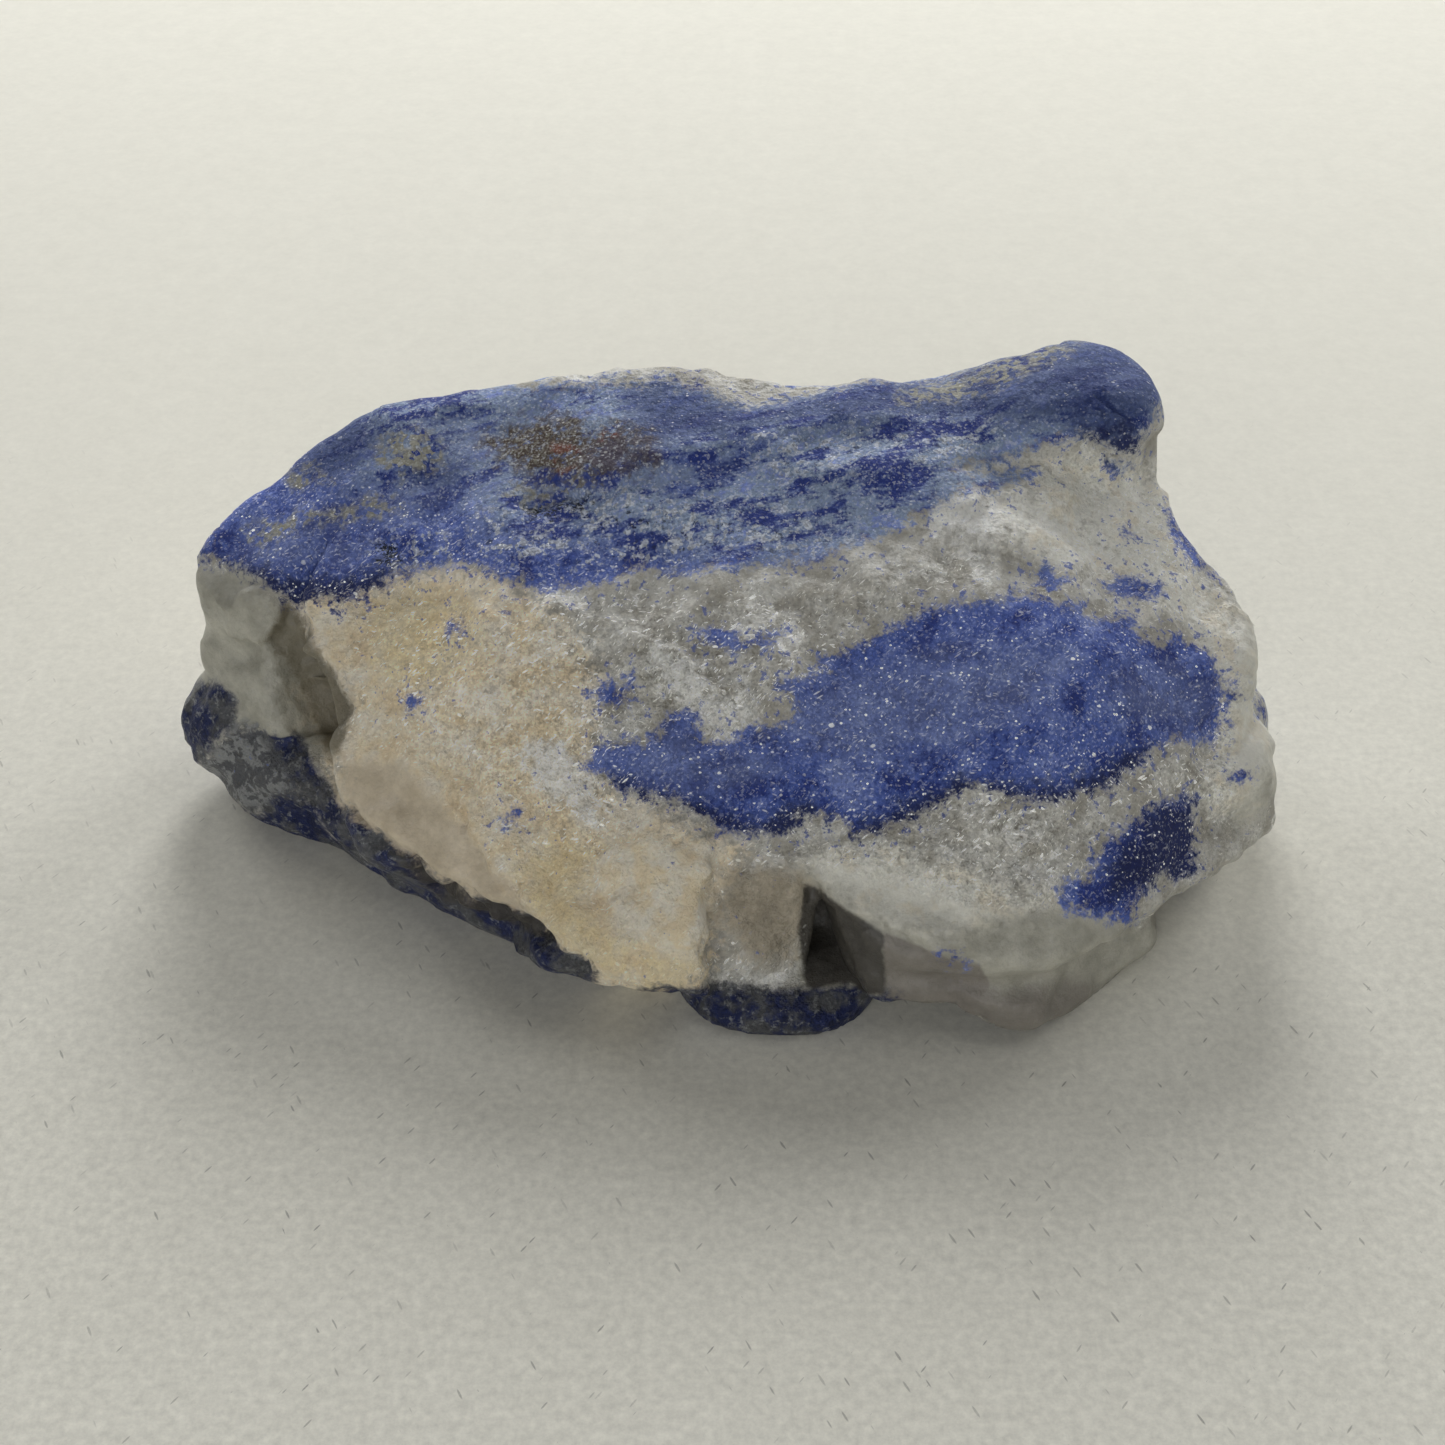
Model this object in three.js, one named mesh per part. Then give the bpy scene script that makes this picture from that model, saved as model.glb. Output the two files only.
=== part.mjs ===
// Rough dumortierite: one broken hand specimen, blue dumortierite banded through grey and cream quartz.
// Millimetres, +Z up. The origin is on the ground under the middle of the stone; its long sloping side
// faces -Y, and bearings count counter-clockwise from +X, so -90 faces the front.
//
// The stone is one closed solid. Its surface is where a signed distance, negative inside, is zero:
// blocks bounded by fracture faces, hollows broken out of them, and rounded lumps grown onto them.
import * as THREE from 'three';

// Driving dimensions
const TOP_Z = 22.3;            // height of the blue top, 10 mm behind the middle
const LEFT_X = -29.0;          // how far the left wall reaches
const RIGHT_X = 28.6;          // how far the right end reaches
const BACK_Y = 16.3;           // how far the back wall reaches
const FOOT_Z = 2.7;            // top of the blue foot that shows under the front
const HORN_Z = 23.9;           // top of the horn, the highest place
const GRAIN = 4.6;             // size of the broken grains
const GRAIN_RELIEF = 0.42;     // how far the grains stand in and out
const SWELL = 13;              // length of the slow waves in the fracture faces
const CELL = 1.32;             // step of the surface mesh
const BASE_FLAT = 0.35;        // what lies lower than this is worn flat and rests on the ground

const MIDDLE = [0.17, 1.38];   // middle of the stone as it is drawn below, which goes to the origin

// The room that is searched for the surface
const MIN_X = -33, MAX_X = 33.5, MIN_Y = -19, MAX_Y = 20, MIN_Z = -1.9, MAX_Z = 27;

// A fracture face: name, [a point on it], bearing and tilt above the horizon that it faces,
// rounding where it meets the faces before it, height of its waves, and the waves' own number.
const TOP = [
  ['top back', [0, 10, TOP_Z], -95, 84, 1.0, 0.25, 8],
  ['top front strip', [-3, 3.5, TOP_Z - 2.1], -97, 70, 1.0, 0.25, 15],
];
const BACK = [
  ['back wall', [0, BACK_Y, 12], 94, 8, 1.0, 0.35, 9],
  ['back wall right', [13, BACK_Y - 0.1, 12], 72, 8, 0.8, 0.35, 15],
  ['back wall left', [-13, BACK_Y + 0.1, 12], 104, 4, 0.8, 0.35, 14],
  ['back undercut', [0, BACK_Y - 1.3, 3], 90, -35, 1.0, 0.5, 13],
];
const SLOPES = [
  ['upper slope', [4, -3.5, 17.6], -93, 65, 2.0, 0.3, 11],
  ['lower slope', [5, -7.5, 13.6], -95, 42, 2.0, 0.3, 11],
  ['cream slope', [-12, -6.5, 11.6], -119, 40, 1.5, 0.3, 11],
  ['cream crest', [-14, 0.4, 16.2], -119, 62, 1.5, 0.3, 11],
];

// The stone's blocks: name, how softly it grows into the blocks before it, and its faces.
const BLOCKS = [
  ['body', 0, [...TOP, ...BACK, ...SLOPES,
    ['cream end', [-21.6, 0, 10], -170, -15, 0.5, 0.4, 9],
    ['cream back', [-21, 9, 15], 165, 10, 0.5, 0, 0],
    ['back right', [24, 13.5, 12], 48, 10, 1.2, 0.6, 10],
    ['right end', [RIGHT_X, 0, 12], -4, 8, 0.8, 0.4, 9],
    ['right shoulder', [16, 4, TOP_Z - 2], -32, 61, 1.5, 0.3, 14],
    ['right back wall', [27.4, 5.2, 15.2], 32, 15, 0.8, 0.3, 15],
    ['right front', [22.8, -10.8, 6], -51, 35, 1.2, 0.3, 11],
    ['front undercut', [0, -13.6, 3], -92, -32, 0.8, 0.4, 14],
    ['cream undercut', [-13.5, -9.8, 5], -119, -35, 0.5, 0.3, 14],
    ['right undercut', [27.4, -5.9, 4.6], -50, -40, 0.8, 0.5, 14]]],
  ['left', 0, [...TOP, ...BACK, ...SLOPES,
    ['left shoulder', [-22, 8, 19.7], 172, 68, 1.2, 0.25, 13],
    ['left wall', [-24.6, 3, 13], -120, 8, 0.3, 0.3, 9],
    ['left wall front', [-24.9, 3.2, 11], -72, 17, 0.2, 0.2, 15],
    ['left end', [LEFT_X, 9, 12], 176, 3, 0.7, 0.5, 8],
    ['left corner', [-28.4, 11.3, 14.4], 160, 35, 0.6, 0.2, 9],
    ['left back corner', [-24, 13.5, 12], 130, 12, 1.2, 0.5, 16],
    ['left undercut', [-27, 8, 4], -170, -40, 1.0, 0.4, 13],
    ['left inner', [-16, 5, 10], 0, 0, 0.5, 0, 0]]],
  ['nose', 0.4, [
    ['nose top', [-4, -12.6, 8.2], -112, 56, 1.2, 0.2, 8],
    ['nose front', [-3, -15.4, 4.6], -104, 20, 0.8, 0.2, 10],
    ['nose right', [-0.6, -13, 6.5], -8, 10, 0.6, 0.3, 10],
    ['nose left', [-9, -12.6, 5.5], -165, 25, 0.8, 0.2, 9],
    ['nose under', [-3, -14.6, 3.4], -104, -40, 0.7, 0.2, 10],
    ['nose back', [0, -4, 8], 90, 0, 0.5, 0, 0],
    ['nose bottom', [0, -10, 1.5], 0, -90, 0.5, 0, 0]]],
  ['lobe', 0.5, [
    ['lobe top', [12, -12.2, 6.2], -93, 46, 0.3, 0.25, 8],
    ['lobe left', [4.9, -12, 4], 180, 0, 0.3, 0, 0],
    ['lobe front', [14.6, -15.5, 4], -90, 4, 0.3, 0.3, 10],
    ['lobe right', [19.2, -13.2, 1.8], -46, 16, 0.4, 0.3, 10],
    ['lobe under right', [19, -13.4, 0.9], -48, -42, 0.4, 0.3, 12],
    ['lobe under', [14.6, -15.2, 0.9], -85, -45, 0.4, 0.3, 10],
    ['lobe back', [15, -2, 8], 90, 0, 0.5, 0, 0],
    ['lobe end', [22.5, -8, 4], 0, 20, 0.8, 0, 0]]],
  ['back ledge', 0.4, [
    ['ledge top', [-2, 16.5, TOP_Z - 1.1], 95, 84, 0.8, 0.3, 9],
    ['ledge back', [-2, BACK_Y + 1.2, 18], 99, 8, 0.7, 0.5, 10],
    ['ledge under', [-2, BACK_Y + 0.7, 13.5], 66, -42, 0.8, 0.6, 11],
    ['ledge left', [-12, 15, 17], 132, -10, 0.8, 0.5, 10],
    ['ledge right', [9, 15, 17], 42, 34, 0.8, 0.5, 11],
    ['ledge inner', [0, 12, 15], -90, 0, 0.5, 0, 0]]],
  ['right nose', 0.5, [
    ['right nose crest', [27.6, 0.6, 13.5], -35, 66, 0.8, 0.2, 10],
    ['right nose facet', [26.6, -1.8, 11], -66, 16, 0.3, 0.2, 10],
    ['right nose end', [28.8, 2, 11.5], -8, 6, 0.5, 0.3, 8],
    ['right nose back', [27, 5.5, 12], 70, 20, 0.8, 0.3, 9],
    ['right nose under', [28, 1, 8], -30, -45, 0.6, 0.3, 10],
    ['right nose inner', [18, 1, 8], 180, 0, 0.5, 0, 0]]],
];

// Hollows broken out of the blocks: name, softness of their rims, and the faces that bound them.
const HOLLOWS = [
  ['back chip', 0.5, [
    ['floor', [6, 13.4, 22.2], -95, -46, 0.6, 0.3, 11],
    ['left', [-1.5, 14, 22.6], 180, -45, 0.5, 0.3, 9],
    ['right', [12, 14, 22.4], 0, -60, 0.5, 0, 0]]],
  ['front hollow', 0.3, [
    ['floor', [2.6, -11.7, 8.3], 100, -12, 0.4, 0.2, 12],
    ['left', [-0.8, -12, 6.5], 172, -8, 0.4, 0, 0],
    ['right', [4.9, -12, 6.5], 10, 0, 0.3, 0.2, 12]]],
  ['notch', 0.3, [
    ['floor', [7, -9.5, 4], 85, -8, 0.4, 0.3, 11],
    ['left', [4.5, -11, 5], -175, 10, 0.3, 0.2, 10],
    ['right', [5.4, -11.3, 6], 20, 18, 0.3, 0.2, 11]]],
  ['crest left', 0.2, [
    ['face', [6.3, -13.2, 7.4], 60, 0, 0.3, 0.2, 16],
    ['left', [4.6, -12, 6], 180, 0, 0.3, 0, 0]]],
  ['crest front', 0.2, [
    ['face', [11.1, -15, 5.9], 81, 0, 0.3, 0.2, 11],
    ['left', [4.6, -12, 6], 180, 0, 0.3, 0, 0]]],
  ['lobe gap', 0.3, [
    ['roof', [8, -14, 2.4], 0, 90, 0.3, 0.3, 13],
    ['roof right', [10, -14, 2.7], 0, 73, 0.3, 0.2, 12],
    ['left', [4.6, -12, 2], 180, 0, 0.3, 0, 0],
    ['back', [9, -9.8, 2], 90, 0, 0.4, 0.3, 12]]],
];

// Rounded lumps: name, [centre], [half-sizes], bearing of the long axis, squareness and softness.
const LUMPS = [
  ['horn root', [17.6, 12.4, 13], [4.6, 4.4, 8], 8, 3.0, 1.2],
  ['horn', [18.8, 12.3, HORN_Z - 3.8], [5.2, 4.3, 3.8], 8, 3.0, 1.4],
  ['knob', [-27.5, 5.5, 4.6], [3.5, 3.5, 3.5], 0, 2.2, 0.4],
  ['left knuckle', [-26.9, 8.4, 12.4], [2.4, 3.2, 2.0], 0, 2.4, 0.5],
  ['lower left knuckle', [-26.8, 8.6, 9.1], [2.4, 3.6, 2.0], 0, 2.4, 0.5],
  ['left foot', [-23.4, 3.8, 2.9], [6.2, 4.4, 3.5], -32, 2.6, 0.5],
  ['front foot', [3.1, -8.6, FOOT_Z - 1.8], [5.8, 6.6, 1.8], -4, 2.6, 0.4],
  ['foot strip', [-14.4, -3.4, 2.1], [13, 3.2, 2.3], -36, 2.8, 0.4],
  ['right bulge', [24.9, -2.1, 6.8], [5.2, 4.6, 4.0], 12, 2.6, 0.5],
  ['right back lump', [27.6, 4.6, 4.6], [4, 3.2, 3], 30, 2.4, 0.5],
];

// Ledges that cross the top: name, [from], [to], rise behind them, width of the riser,
// and how far back the rise fades out again.
const LEDGES = [
  ['front ledge', [-9.5, 4.6], [11.5, 9.4], 0.4, 0.8, 9],
  ['left ledge', [-24, 6], [-6, 12.6], 0.3, 1.2, 6],
];

const GRAIN_TURN = [[0.77, 0.57, -0.28], [-0.48, 0.81, 0.33], [0.42, -0.12, 0.9]];

const clamp = (t) => Math.min(Math.max(t, 0), 1);
const ease = (t) => clamp(t) ** 2 * (3 - 2 * clamp(t));
const dot = (a, b) => a[0] * b[0] + a[1] * b[1] + a[2] * b[2];
const minus = (a, b) => [a[0] - b[0], a[1] - b[1], a[2] - b[2]];

function direction(bearing, tilt) {
  const b = THREE.MathUtils.degToRad(bearing), t = THREE.MathUtils.degToRad(tilt);
  return [Math.cos(b) * Math.cos(t), Math.sin(b) * Math.cos(t), Math.sin(t)];
}

// The larger of two distances, with the corner between them rounded by k
function larger(a, b, k) {
  if (k === 0) return Math.max(a, b);
  const h = clamp(0.5 + 0.5 * (a - b) / k);
  return b + (a - b) * h + k * h * (1 - h);
}
const smaller = (a, b, k) => -larger(-a, -b, k);

// Slow swells of about -1 to 1: four sines that run in odd directions, set by the number
function swell(p, number) {
  let sum = 0;
  for (let i = 0; i < 4; i++) {
    const a = number * 1.7 + i * 2.399;
    const along = dot(p, [Math.cos(a), 0.9 * Math.sin(a), Math.sin(1.31 * a + i)]);
    sum += Math.sin(along * 2 * Math.PI / SWELL * (1 + 0.23 * i) + number * 3.1 + i * 1.9);
  }
  return sum / 2.4;
}

function block(p, faces) {
  let far = null;
  for (const [, at, bearing, tilt, rounding, height, number] of faces) {
    let f = dot(minus(p, at), direction(bearing, tilt));
    if (height > 0) f += height * swell(p, number);
    far = far === null ? f : larger(far, f, rounding);
  }
  return far;
}

function lump(p, [, centre, half, bearing, squareness]) {
  const q = minus(p, centre), b = THREE.MathUtils.degToRad(bearing);
  const local = [q[0] * Math.cos(b) + q[1] * Math.sin(b), q[1] * Math.cos(b) - q[0] * Math.sin(b), q[2]];
  const sum = local.reduce((s, c, i) => s + (Math.abs(c) / half[i]) ** squareness, 0);
  return (sum ** (1 / squareness) - 1) * Math.min(...half);
}

// How much higher the top stands at this place, behind the ledges that cross it
function ledgeRise(p) {
  let up = 0;
  for (const [, from, to, rise, width, back] of LEDGES) {
    const length = Math.hypot(to[0] - from[0], to[1] - from[1]);
    const dx = (to[0] - from[0]) / length, dy = (to[1] - from[1]) / length;
    const along = (p[0] - from[0]) * dx + (p[1] - from[1]) * dy;
    const behind = (p[1] - from[1]) * dx - (p[0] - from[0]) * dy
      + 0.35 * Math.sin(along * 1.1) + 0.2 * Math.sin(along * 2.9 + 1);
    up += rise * ease(behind / width) * (1 - ease((behind - width) / back))
      * ease(along / 3) * ease((length - along) / 3);
  }
  return up * ease((p[2] - 12) / 4);
}

// The stone's signed distance, with its underside cut level at the ground
function distance(place) {
  const p = [place[0], place[1], place[2] - ledgeRise(place)];
  let f = Infinity;
  for (const [, softness, faces] of BLOCKS) {
    const g = block(p, faces);
    f = f === Infinity ? g : smaller(f, g, softness);
  }
  for (const [, softness, faces] of HOLLOWS) f = larger(f, -block(p, faces), softness);
  for (const shape of LUMPS) f = smaller(f, lump(p, shape), shape[5]);
  return Math.max(f, -place[2]);
}

// Three even numbers of 0 to 1 for a cell, the same every time
function scatter([i, j, k], number) {
  return [[127.1, 311.7, 74.7], [269.5, 183.3, 246.1], [419.2, 371.9, 95.3]].map((row) => {
    const h = Math.sin(dot(row, [i, j, k]) + number * 17.3) * 43758.5453;
    return h - Math.floor(h);
  });
}

// Flat tilted grains with steep steps between them, about -1 to 1
function grains(p, size, number) {
  const q = GRAIN_TURN.map((row) => dot(row, p) / size);
  const cell = q.map(Math.floor);
  const found = [];
  for (let i = -1; i < 2; i++) for (let j = -1; j < 2; j++) for (let k = -1; k < 2; k++) {
    const c = [cell[0] + i, cell[1] + j, cell[2] + k];
    const d = minus(minus(q, c), scatter(c, number));
    const tilt = scatter(c, number + 5.1).map((t) => 2 * t - 1);
    found.push([Math.hypot(...d), 1.1 * dot(d, tilt) + 0.25 * (tilt[0] + tilt[1] + tilt[2])]);
  }
  const nearest = Math.min(...found.map(([d]) => d));
  let sum = 0, weights = 0;
  for (const [d, height] of found) {
    const w = Math.exp(-7 * (d - nearest));
    sum += w * height;
    weights += w;
  }
  return sum / weights;
}

// The direction in which the distance grows fastest
function outward(p) {
  const e = CELL * 0.3;
  return [0, 1, 2].map((axis) => {
    const a = [...p], b = [...p];
    a[axis] += e;
    b[axis] -= e;
    return (distance(a) - distance(b)) / (2 * e);
  });
}

// The distance at every corner of a grid of cells around the stone
const count = [MAX_X - MIN_X, MAX_Y - MIN_Y, MAX_Z - MIN_Z].map((s) => Math.ceil(s / CELL) + 1);
const corner = (i, j, k) => (i * count[1] + j) * count[2] + k;
const place = (i, j, k) => [MIN_X + i * CELL, MIN_Y + j * CELL, MIN_Z + k * CELL];

function sample() {
  const f = new Float64Array(count[0] * count[1] * count[2]);
  for (let i = 0; i < count[0]; i++) for (let j = 0; j < count[1]; j++) for (let k = 0; k < count[2]; k++) {
    f[corner(i, j, k)] = distance(place(i, j, k));
  }
  return f;
}

// Fills the corners that would touch the stone only across a square's or a cube's diagonal,
// so that the surface is never pinched at an edge or a point.
function fillPinches(f) {
  const steps = [[1, 0, 0], [0, 1, 0], [0, 0, 1]];
  const inside = (c) => f[corner(...c)] < 0;
  const plus = (c, ...s) => s.reduce((t, d) => [t[0] + d[0], t[1] + d[1], t[2] + d[2]], c);
  for (let filled = true; filled;) {
    filled = false;
    for (let i = 0; i < count[0] - 1; i++) for (let j = 0; j < count[1] - 1; j++) {
      for (let k = 0; k < count[2] - 1; k++) {
        const c = [i, j, k];
        const fill = (...corners) => {
          for (const at of corners) if (!inside(at)) f[corner(...at)] = -0.01 * CELL;
          filled = true;
        };
        for (const [u, v] of [[0, 1], [0, 2], [1, 2]]) {
          const square = [c, plus(c, steps[u]), plus(c, steps[u], steps[v]), plus(c, steps[v])];
          const [a, b, d, e] = square.map(inside);
          if (a === d && b === e && a !== b) fill(...square);
        }
        const cube = [0, 1, 2, 3, 4, 5, 6, 7].map((n) => [i + (n >> 2), j + ((n >> 1) & 1), k + (n & 1)]);
        for (let n = 0; n < 4; n++) {
          const [a, b] = [cube[n], cube[7 - n]];
          const others = cube.filter((at) => at !== a && at !== b).map(inside);
          if (inside(a) === inside(b) && others.every((o) => o !== inside(a))) fill(...cube);
        }
      }
    }
  }
}

// One point in each cell that the surface crosses, and two triangles round each grid edge that it crosses
function surface(f) {
  const sums = new Map(), quads = [];
  for (let i = 1; i < count[0] - 1; i++) for (let j = 1; j < count[1] - 1; j++) {
    for (let k = 1; k < count[2] - 1; k++) for (let axis = 0; axis < 3; axis++) {
      const from = [i, j, k], to = [...from];
      to[axis] += 1;
      const a = f[corner(...from)], b = f[corner(...to)];
      if ((a < 0) === (b < 0)) continue;
      const crossing = place(...from);
      crossing[axis] += CELL * a / (a - b);
      const u = (axis + 1) % 3, v = (axis + 2) % 3;
      const quad = [[0, 0], [-1, 0], [-1, -1], [0, -1]].map(([du, dv]) => {
        const cell = [...from];
        cell[u] += du;
        cell[v] += dv;
        const key = corner(...cell);
        const sum = sums.get(key) ?? [0, 0, 0, 0];
        sums.set(key, [sum[0] + crossing[0], sum[1] + crossing[1], sum[2] + crossing[2], sum[3] + 1]);
        return key;
      });
      quads.push(a < 0 ? quad : quad.reverse());
    }
  }
  const index = new Map([...sums.keys()].map((key, n) => [key, n]));
  const points = [...sums.values()].map(([x, y, z, n]) => [x / n, y / n, z / n]);
  return { points, quads: quads.map((quad) => quad.map((key) => index.get(key))) };
}

// Brings a point onto the stone's face and then sets it in or out with the grain it lies on
function finish(point) {
  let p = point;
  for (let round = 0; round < 2; round++) {
    const slope = outward(p);
    const step = distance(p) / Math.max(dot(slope, slope), 0.25);
    const move = Math.min(Math.max(step, -CELL / 2), CELL / 2);
    p = minus(p, slope.map((s) => s * move));
  }
  const slope = outward(p), steepness = Math.max(Math.hypot(...slope), 1e-6);
  const relief = GRAIN_RELIEF * grains(p, GRAIN, 1) * clamp(p[2] / 0.8);
  p = minus(p, slope.map((s) => -s / steepness * relief));
  if (p[2] < BASE_FLAT) p[2] = 0;
  return p;
}

// Each four-sided patch is split along its shorter diagonal
function triangles(points, quads) {
  const apart = (a, b) => Math.hypot(...minus(points[a], points[b]));
  return quads.flatMap(([a, b, c, d]) => (
    apart(a, c) <= apart(b, d) ? [a, b, c, a, c, d] : [a, b, d, b, c, d]));
}

function stoneGeometry() {
  const f = sample();
  fillPinches(f);
  const { points, quads } = surface(f);
  const placed = points.map(finish);
  const geometry = new THREE.BufferGeometry();
  geometry.setAttribute('position', new THREE.Float32BufferAttribute(placed.flat(), 3));
  geometry.setIndex(triangles(placed, quads));
  geometry.computeVertexNormals();
  return geometry.translate(-MIDDLE[0], -MIDDLE[1], 0);
}

const group = new THREE.Group();
const material = new THREE.MeshStandardMaterial({ color: 0x8f9098, roughness: 0.6, metalness: 0 });
const specimen = new THREE.Mesh(stoneGeometry(), material);
specimen.name = 'stone';
group.add(specimen);

export default group;
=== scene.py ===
import math

import bpy
import numpy as np
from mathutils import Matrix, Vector


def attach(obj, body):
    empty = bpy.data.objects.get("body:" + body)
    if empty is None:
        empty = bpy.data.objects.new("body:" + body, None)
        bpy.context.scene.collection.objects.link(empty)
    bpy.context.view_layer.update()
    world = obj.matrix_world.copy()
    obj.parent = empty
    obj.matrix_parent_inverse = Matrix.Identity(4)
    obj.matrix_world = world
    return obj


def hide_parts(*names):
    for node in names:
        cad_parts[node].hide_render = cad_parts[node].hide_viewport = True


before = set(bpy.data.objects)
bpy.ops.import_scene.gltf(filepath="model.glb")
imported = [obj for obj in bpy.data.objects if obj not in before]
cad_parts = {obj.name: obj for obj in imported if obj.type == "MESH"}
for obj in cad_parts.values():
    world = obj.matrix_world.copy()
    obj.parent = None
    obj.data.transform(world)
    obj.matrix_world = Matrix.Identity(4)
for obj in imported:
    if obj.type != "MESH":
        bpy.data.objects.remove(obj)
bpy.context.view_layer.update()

# ---- The stone's shape, in millimetres, as part.mjs draws it: a signed distance, negative inside,
# made of blocks bounded by fracture faces, hollows broken out of them, and rounded lumps.
# Bearings count counter-clockwise from +X, so -90 faces the front.
TOP_Z = 22.3
LEFT_X = -29.0
RIGHT_X = 28.6
BACK_Y = 16.3
FOOT_Z = 2.7
HORN_Z = 23.9
SWELL = 13  # length of the slow swells
MIDDLE = np.array([0.17, 1.38, 0])  # the middle of the stone as drawn, which goes to the origin
CELL = 0.335  # step of the fine mesh
LOW, HIGH = np.array([-33, -19, -1.87]), np.array([33.5, 20, 27])  # corners of its grid

# A fracture face: name, point on it, bearing and tilt it faces, rounding, height and number of its waves
TOP = [
    ("top back", (0, 10, TOP_Z), -95, 84, 1.0, 0.25, 8),
    ("top front strip", (-3, 3.5, TOP_Z - 2.1), -97, 70, 1.0, 0.25, 15),
]
BACK = [
    ("back wall", (0, BACK_Y, 12), 94, 8, 1.0, 0.35, 9),
    ("back wall right", (13, BACK_Y - 0.1, 12), 72, 8, 0.8, 0.35, 15),
    ("back wall left", (-13, BACK_Y + 0.1, 12), 104, 4, 0.8, 0.35, 14),
    ("back undercut", (0, BACK_Y - 1.3, 3), 90, -35, 1.0, 0.5, 13),
]
SLOPES = [
    ("upper slope", (4, -3.5, 17.6), -93, 65, 2.0, 0.3, 11),
    ("lower slope", (5, -7.5, 13.6), -95, 42, 2.0, 0.3, 11),
    ("cream slope", (-12, -6.5, 11.6), -119, 40, 1.5, 0.3, 11),
    ("cream crest", (-14, 0.4, 16.2), -119, 62, 1.5, 0.3, 11),
]
BLOCKS = [
    ("body", 0, TOP + BACK + SLOPES + [
        ("cream end", (-21.6, 0, 10), -170, -15, 0.5, 0.4, 9),
        ("cream back", (-21, 9, 15), 165, 10, 0.5, 0, 0),
        ("back right", (24, 13.5, 12), 48, 10, 1.2, 0.6, 10),
        ("right end", (RIGHT_X, 0, 12), -4, 8, 0.8, 0.4, 9),
        ("right shoulder", (16, 4, TOP_Z - 2), -32, 61, 1.5, 0.3, 14),
        ("right back wall", (27.4, 5.2, 15.2), 32, 15, 0.8, 0.3, 15),
        ("right front", (22.8, -10.8, 6), -51, 35, 1.2, 0.3, 11),
        ("front undercut", (0, -13.6, 3), -92, -32, 0.8, 0.4, 14),
        ("cream undercut", (-13.5, -9.8, 5), -119, -35, 0.5, 0.3, 14),
        ("right undercut", (27.4, -5.9, 4.6), -50, -40, 0.8, 0.5, 14),
    ]),
    ("left", 0, TOP + BACK + SLOPES + [
        ("left shoulder", (-22, 8, 19.7), 172, 68, 1.2, 0.25, 13),
        ("left wall", (-24.6, 3, 13), -120, 8, 0.3, 0.3, 9),
        ("left wall front", (-24.9, 3.2, 11), -72, 17, 0.2, 0.2, 15),
        ("left end", (LEFT_X, 9, 12), 176, 3, 0.7, 0.5, 8),
        ("left corner", (-28.4, 11.3, 14.4), 160, 35, 0.6, 0.2, 9),
        ("left back corner", (-24, 13.5, 12), 130, 12, 1.2, 0.5, 16),
        ("left undercut", (-27, 8, 4), -170, -40, 1.0, 0.4, 13),
        ("left inner", (-16, 5, 10), 0, 0, 0.5, 0, 0),
    ]),
    ("nose", 0.4, [
        ("nose top", (-4, -12.6, 8.2), -112, 56, 1.2, 0.2, 8),
        ("nose front", (-3, -15.4, 4.6), -104, 20, 0.8, 0.2, 10),
        ("nose right", (-0.6, -13, 6.5), -8, 10, 0.6, 0.3, 10),
        ("nose left", (-9, -12.6, 5.5), -165, 25, 0.8, 0.2, 9),
        ("nose under", (-3, -14.6, 3.4), -104, -40, 0.7, 0.2, 10),
        ("nose back", (0, -4, 8), 90, 0, 0.5, 0, 0),
        ("nose bottom", (0, -10, 1.5), 0, -90, 0.5, 0, 0),
    ]),
    ("lobe", 0.5, [
        ("lobe top", (12, -12.2, 6.2), -93, 46, 0.3, 0.25, 8),
        ("lobe left", (4.9, -12, 4), 180, 0, 0.3, 0, 0),
        ("lobe front", (14.6, -15.5, 4), -90, 4, 0.3, 0.3, 10),
        ("lobe right", (19.2, -13.2, 1.8), -46, 16, 0.4, 0.3, 10),
        ("lobe under right", (19, -13.4, 0.9), -48, -42, 0.4, 0.3, 12),
        ("lobe under", (14.6, -15.2, 0.9), -85, -45, 0.4, 0.3, 10),
        ("lobe back", (15, -2, 8), 90, 0, 0.5, 0, 0),
        ("lobe end", (22.5, -8, 4), 0, 20, 0.8, 0, 0),
    ]),
    ("back ledge", 0.4, [
        ("ledge top", (-2, 16.5, TOP_Z - 1.1), 95, 84, 0.8, 0.3, 9),
        ("ledge back", (-2, BACK_Y + 1.2, 18), 99, 8, 0.7, 0.5, 10),
        ("ledge under", (-2, BACK_Y + 0.7, 13.5), 66, -42, 0.8, 0.6, 11),
        ("ledge left", (-12, 15, 17), 132, -10, 0.8, 0.5, 10),
        ("ledge right", (9, 15, 17), 42, 34, 0.8, 0.5, 11),
        ("ledge inner", (0, 12, 15), -90, 0, 0.5, 0, 0),
    ]),
    ("right nose", 0.5, [
        ("right nose crest", (27.6, 0.6, 13.5), -35, 66, 0.8, 0.2, 10),
        ("right nose facet", (26.6, -1.8, 11), -66, 16, 0.3, 0.2, 10),
        ("right nose end", (28.8, 2, 11.5), -8, 6, 0.5, 0.3, 8),
        ("right nose back", (27, 5.5, 12), 70, 20, 0.8, 0.3, 9),
        ("right nose under", (28, 1, 8), -30, -45, 0.6, 0.3, 10),
        ("right nose inner", (18, 1, 8), 180, 0, 0.5, 0, 0),
    ]),
]
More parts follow.
